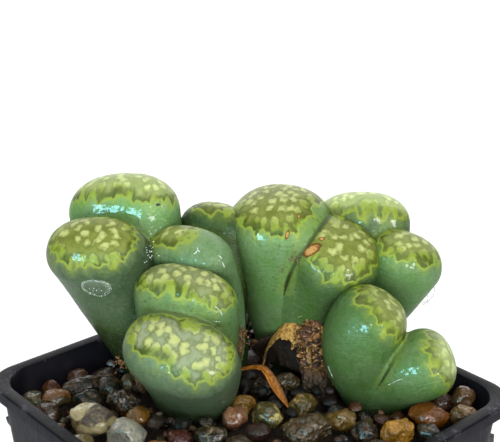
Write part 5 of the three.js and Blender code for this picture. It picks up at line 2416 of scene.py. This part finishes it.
@dataclass(frozen=True)
class Thread:
    """A thin thread on the leaves, such as cobweb, or a pale thread that paints a glint of water.

    Attributes:
        name: Its name.
        course: Points along it, in the clump's frame.
        radius: Its radius.
        color: Its colour.
        roughness: How dull it is.
    """

    name: str
    course: tuple[Triple, ...]
    radius: float = 0.07
    color: Color = srgb(170, 172, 168)
    roughness: float = 0.5

    STEPS = (40, 6)

    def build(self) -> None:
        """Builds and dresses the thread."""
        piece, length, around = laid_sheet(self.name, self.STEPS)
        at, ahead, _ = along_course(self.course, length)
        side = square_to(np.broadcast_to([0.0, 0.0, 1.0], at.shape), ahead)
        angle = around * 2 * math.pi
        spoke = side * np.cos(angle)[:, None] + np.cross(ahead, side) * np.sin(angle)[:, None]
        set_points(piece, at + spoke * self.radius)
        merge_touching(piece)
        s = Shader.of_material(self.name)
        gaps = s.noise(s.position(), 1.2)
        silk = s.close(Base_Color=self.color, Alpha=gaps.step(0.3, 0.55) * 0.9, Roughness=self.roughness)
        finish(piece, silk)


WEBS = (
    Thread(
        "web_long",
        ((33.2, 14.2, 14.6), (34.9, 14.0, 14.1), (35.1, 14.1, 12.2), (33.9, 14.4, 10.2), (32.1, 14.6, 9.2)),
    ),
    Thread("web_short", ((33.2, 14.1, 12.4), (34.1, 14.2, 11.6), (34.0, 14.4, 10.6), (33.0, 14.6, 10.0))),
)

# The colour of the painted highlights on water.
GLINT = srgb(196, 214, 200)
GLINT_ROUGHNESS = 0.1

# The radius of each painted glint, a pale thread that stands for a highlight on water, and the
# points along it, in the clump's frame.
GLINTS = {
    "star": (0.08, (-10.1, 7.9, 22.6), (-9.7, 8.1, 22.9), (-9.4, 8.2, 23.2), (-9.0, 8.0, 23.0)),
    "star_short": (0.07, (-9.5, 8.6, 23.6), (-9.4, 8.3, 23.3), (-9.2, 8.1, 23.1)),
    "middle": (0.1, (-5.6, 8.1, 22.3), (-5.2, 8.0, 21.9), (-5.0, 7.9, 21.3), (-4.6, 7.9, 20.1)),
    "left": (
        0.09, (-6.0, 0.2, 15.9), (-5.6, 0.2, 15.6), (-5.2, 0.2, 15.2), (-4.9, 0.2, 14.6), (-4.6, 0.3, 13.8)
    ),
    "left_low": (0.06, (-6.3, 0.0, 13.1), (-5.7, 0.1, 13.0), (-5.1, 0.3, 12.9)),
    "right": (0.08, (14.6, 2.3, 3.0), (15.0, 2.3, 1.9), (15.5, 2.4, 0.7)),
    "centre": (0.08, (9.5, 14.1, 7.0), (9.8, 13.9, 7.3), (10.1, 13.6, 7.5)),
    "slit": (0.08, (25.2, -1.8, 1.6), (25.8, -2.2, 2.2), (26.4, -2.5, 2.8), (27.6, -3.0, 3.6)),
}


class Trifles:
    """The drop, the litter, the cobweb, and the pale bits that paint glints on the leaves."""

    def build(self) -> None:
        """Builds and dresses each of them."""
        Drop().build()
        for seed, litter in enumerate(LITTER, 1):
            litter.build(seed)
        for web in WEBS:
            web.build()
        for name, (radius, *course) in GLINTS.items():
            Thread(f"glint_{name}", tuple(course), radius, GLINT, GLINT_ROUGHNESS).build()


# Stage


@dataclass(frozen=True)
class View:
    """Where the camera stands.

    Attributes:
        azimuth: Degrees round the pot, from the -Y side towards +X.
        elevation: Degrees above level.
        roll: Degrees that the picture is turned.
        distance: From the middle of the rim to the picture's plane of the camera, in millimetres.
        aside: How far the camera is moved across the picture, to the right and up, in millimetres.
        lens: The focal length for a sensor 36 mm wide.
    """

    azimuth: float = 47.6
    elevation: float = 21.46
    roll: float = 0.674
    distance: float = 192.2
    aside: tuple[float, float] = (0.356, 30.05)
    lens: float = 75.99

    SENSOR = 36.0
    CLIP = (0.01, 50.0)

    def axes(self) -> tuple[Array, Array, Array]:
        """The camera's axes.

        Returns:
            Its right, up and back directions.
        """
        turn, rise, roll = np.radians([self.azimuth, self.elevation, self.roll])
        back = np.array([math.sin(turn) * math.cos(rise), -math.cos(turn) * math.cos(rise), math.sin(rise)])
        level = np.array([math.cos(turn), math.sin(turn), 0.0])
        upright = np.cross(back, level)
        right = level * math.cos(roll) + upright * math.sin(roll)
        return right, -level * math.sin(roll) + upright * math.cos(roll), back

    def place(self) -> Array:
        """The camera's place.

        Returns:
            The place in millimetres.
        """
        right, up, back = self.axes()
        across, above = self.aside
        return np.array([0, 0, LAYOUT.rim]) + back * self.distance + right * across + up * above

    def build(self) -> None:
        """Makes the camera."""
        data = bpy.data.cameras.new("camera")
        data.lens = self.lens
        data.sensor_width = self.SENSOR
        data.sensor_fit = "HORIZONTAL"
        data.clip_start, data.clip_end = self.CLIP
        camera = place_new("camera", data)
        turned = Matrix(np.stack(self.axes(), axis=1).tolist()).to_4x4()
        turned.translation = Vector(self.place() * MM)
        camera.matrix_world = turned
        bpy.context.scene.camera = camera


@dataclass(frozen=True)
class Lamp:
    """A soft lamp that shines at the clump.

    Attributes:
        heading: Its heading in the clump's frame, in degrees.
        elevation: Degrees above level.
        distance: From the clump, in millimetres.
        size: Its width and height in millimetres.
        power: In watts.
        color: Its colour.
        aim: The point that it shines at, in the clump's frame.
        mirrored: Whether glossy skin mirrors it.
        lights: Whether it lights matt surfaces.
    """

    heading: float
    elevation: float
    distance: float
    size: tuple[float, float]
    power: float
    color: Triple = (1.0, 1.0, 1.0)
    aim: Triple = (0.0, 8.0, 10.0)
    mirrored: bool = True
    lights: bool = True

    def build(self, name: str) -> None:
        """Makes the lamp.

        Args:
            name: The lamp's name.
        """
        data = bpy.data.lights.new(name, "AREA")
        data.shape = "RECTANGLE"
        data.size, data.size_y = (value * MM for value in self.size)
        data.energy = self.power
        data.color = self.color
        lamp = place_new(name, data)
        lamp.visible_glossy = self.mirrored
        lamp.visible_diffuse = self.lights
        aim = LAYOUT.point(self.aim) * MM
        direction = Vector(LAYOUT.leaning(90 - self.elevation, self.heading))
        lamp.rotation_euler = direction.to_track_quat("Z", "Y").to_euler()
        lamp.location = Vector(aim) + direction * self.distance * MM


LAMPS = {
    "key": Lamp(-76, 42, 500, (260, 260), 1.15, (1.0, 0.99, 0.98), mirrored=False),
    "front": Lamp(-98, 1, 480, (420, 160), 2.0, (0.98, 1.0, 1.0), mirrored=False),
    "window_left": Lamp(-123, 11, 520, (541, 202), 6.0, (0.36, 0.84, 1.0), lights=False),
    "window_right": Lamp(-60, 16, 520, (480, 298), 5.0, (1.0, 1.0, 1.0), lights=False),
    "window_back": Lamp(90, 18, 600, (1500, 400), 5.0, lights=False),
    "backdrop": Lamp(90, 90, 620, (1200, 900), 4.0, aim=(0.0, 620.0, -64.0)),
}


class Stage:
    """The plain pale floor, the soft light and the camera."""

    FLOOR_SIDE = 6.0
    OVERHEAD = 0.92
    LEVEL = 0.05

    def sky(self) -> bpy.types.World:
        """Makes the light all round, bright overhead and dim at the level of the eye.

        Returns:
            The world that gives it.
        """
        world = bpy.data.worlds.new("studio")
        s = Shader(world)
        up = s.parts(s.node("ShaderNodeTexCoord", output="Generated"))[2]
        strength = self.LEVEL + up.step(0.0, 1.0) * (self.OVERHEAD - self.LEVEL)
        light = s.node("ShaderNodeBackground", inputs={"Color": (1.0, 1.0, 1.0, 1.0), "Strength": strength})
        end = s.tree.nodes.new("ShaderNodeOutputWorld")
        s.tree.links.new(light.socket, end.inputs["Surface"])
        return world

    def build(self) -> None:
        """Makes the stage."""
        floor = add_primitive("floor", bpy.ops.mesh.primitive_plane_add, size=self.FLOOR_SIDE)
        shader = Shader.of_material("floor")
        floor.data.materials.append(shader.close(Base_Color=srgb(247, 248, 248), Roughness=0.9))
        bpy.context.scene.world = self.sky()
        bpy.context.scene.view_settings.view_transform = "Standard"
        for name, lamp in LAMPS.items():
            lamp.build(name)
        View().build()


def main() -> None:
    """Builds every piece in order and reports it."""
    logging.basicConfig(level=logging.INFO, format="%(message)s")
    Stage().build()
    Pot().build()
    Plant().build()
    stones = Pebbles().build()
    DryRemains().build()
    Trifles().build()
    standing = [head.name for head in HEADS] + ["dry_sheath", "dry_collar_left"]
    Gravel(Bed().build(), stones, standing).build()


if __name__ == "__main__":
    main()
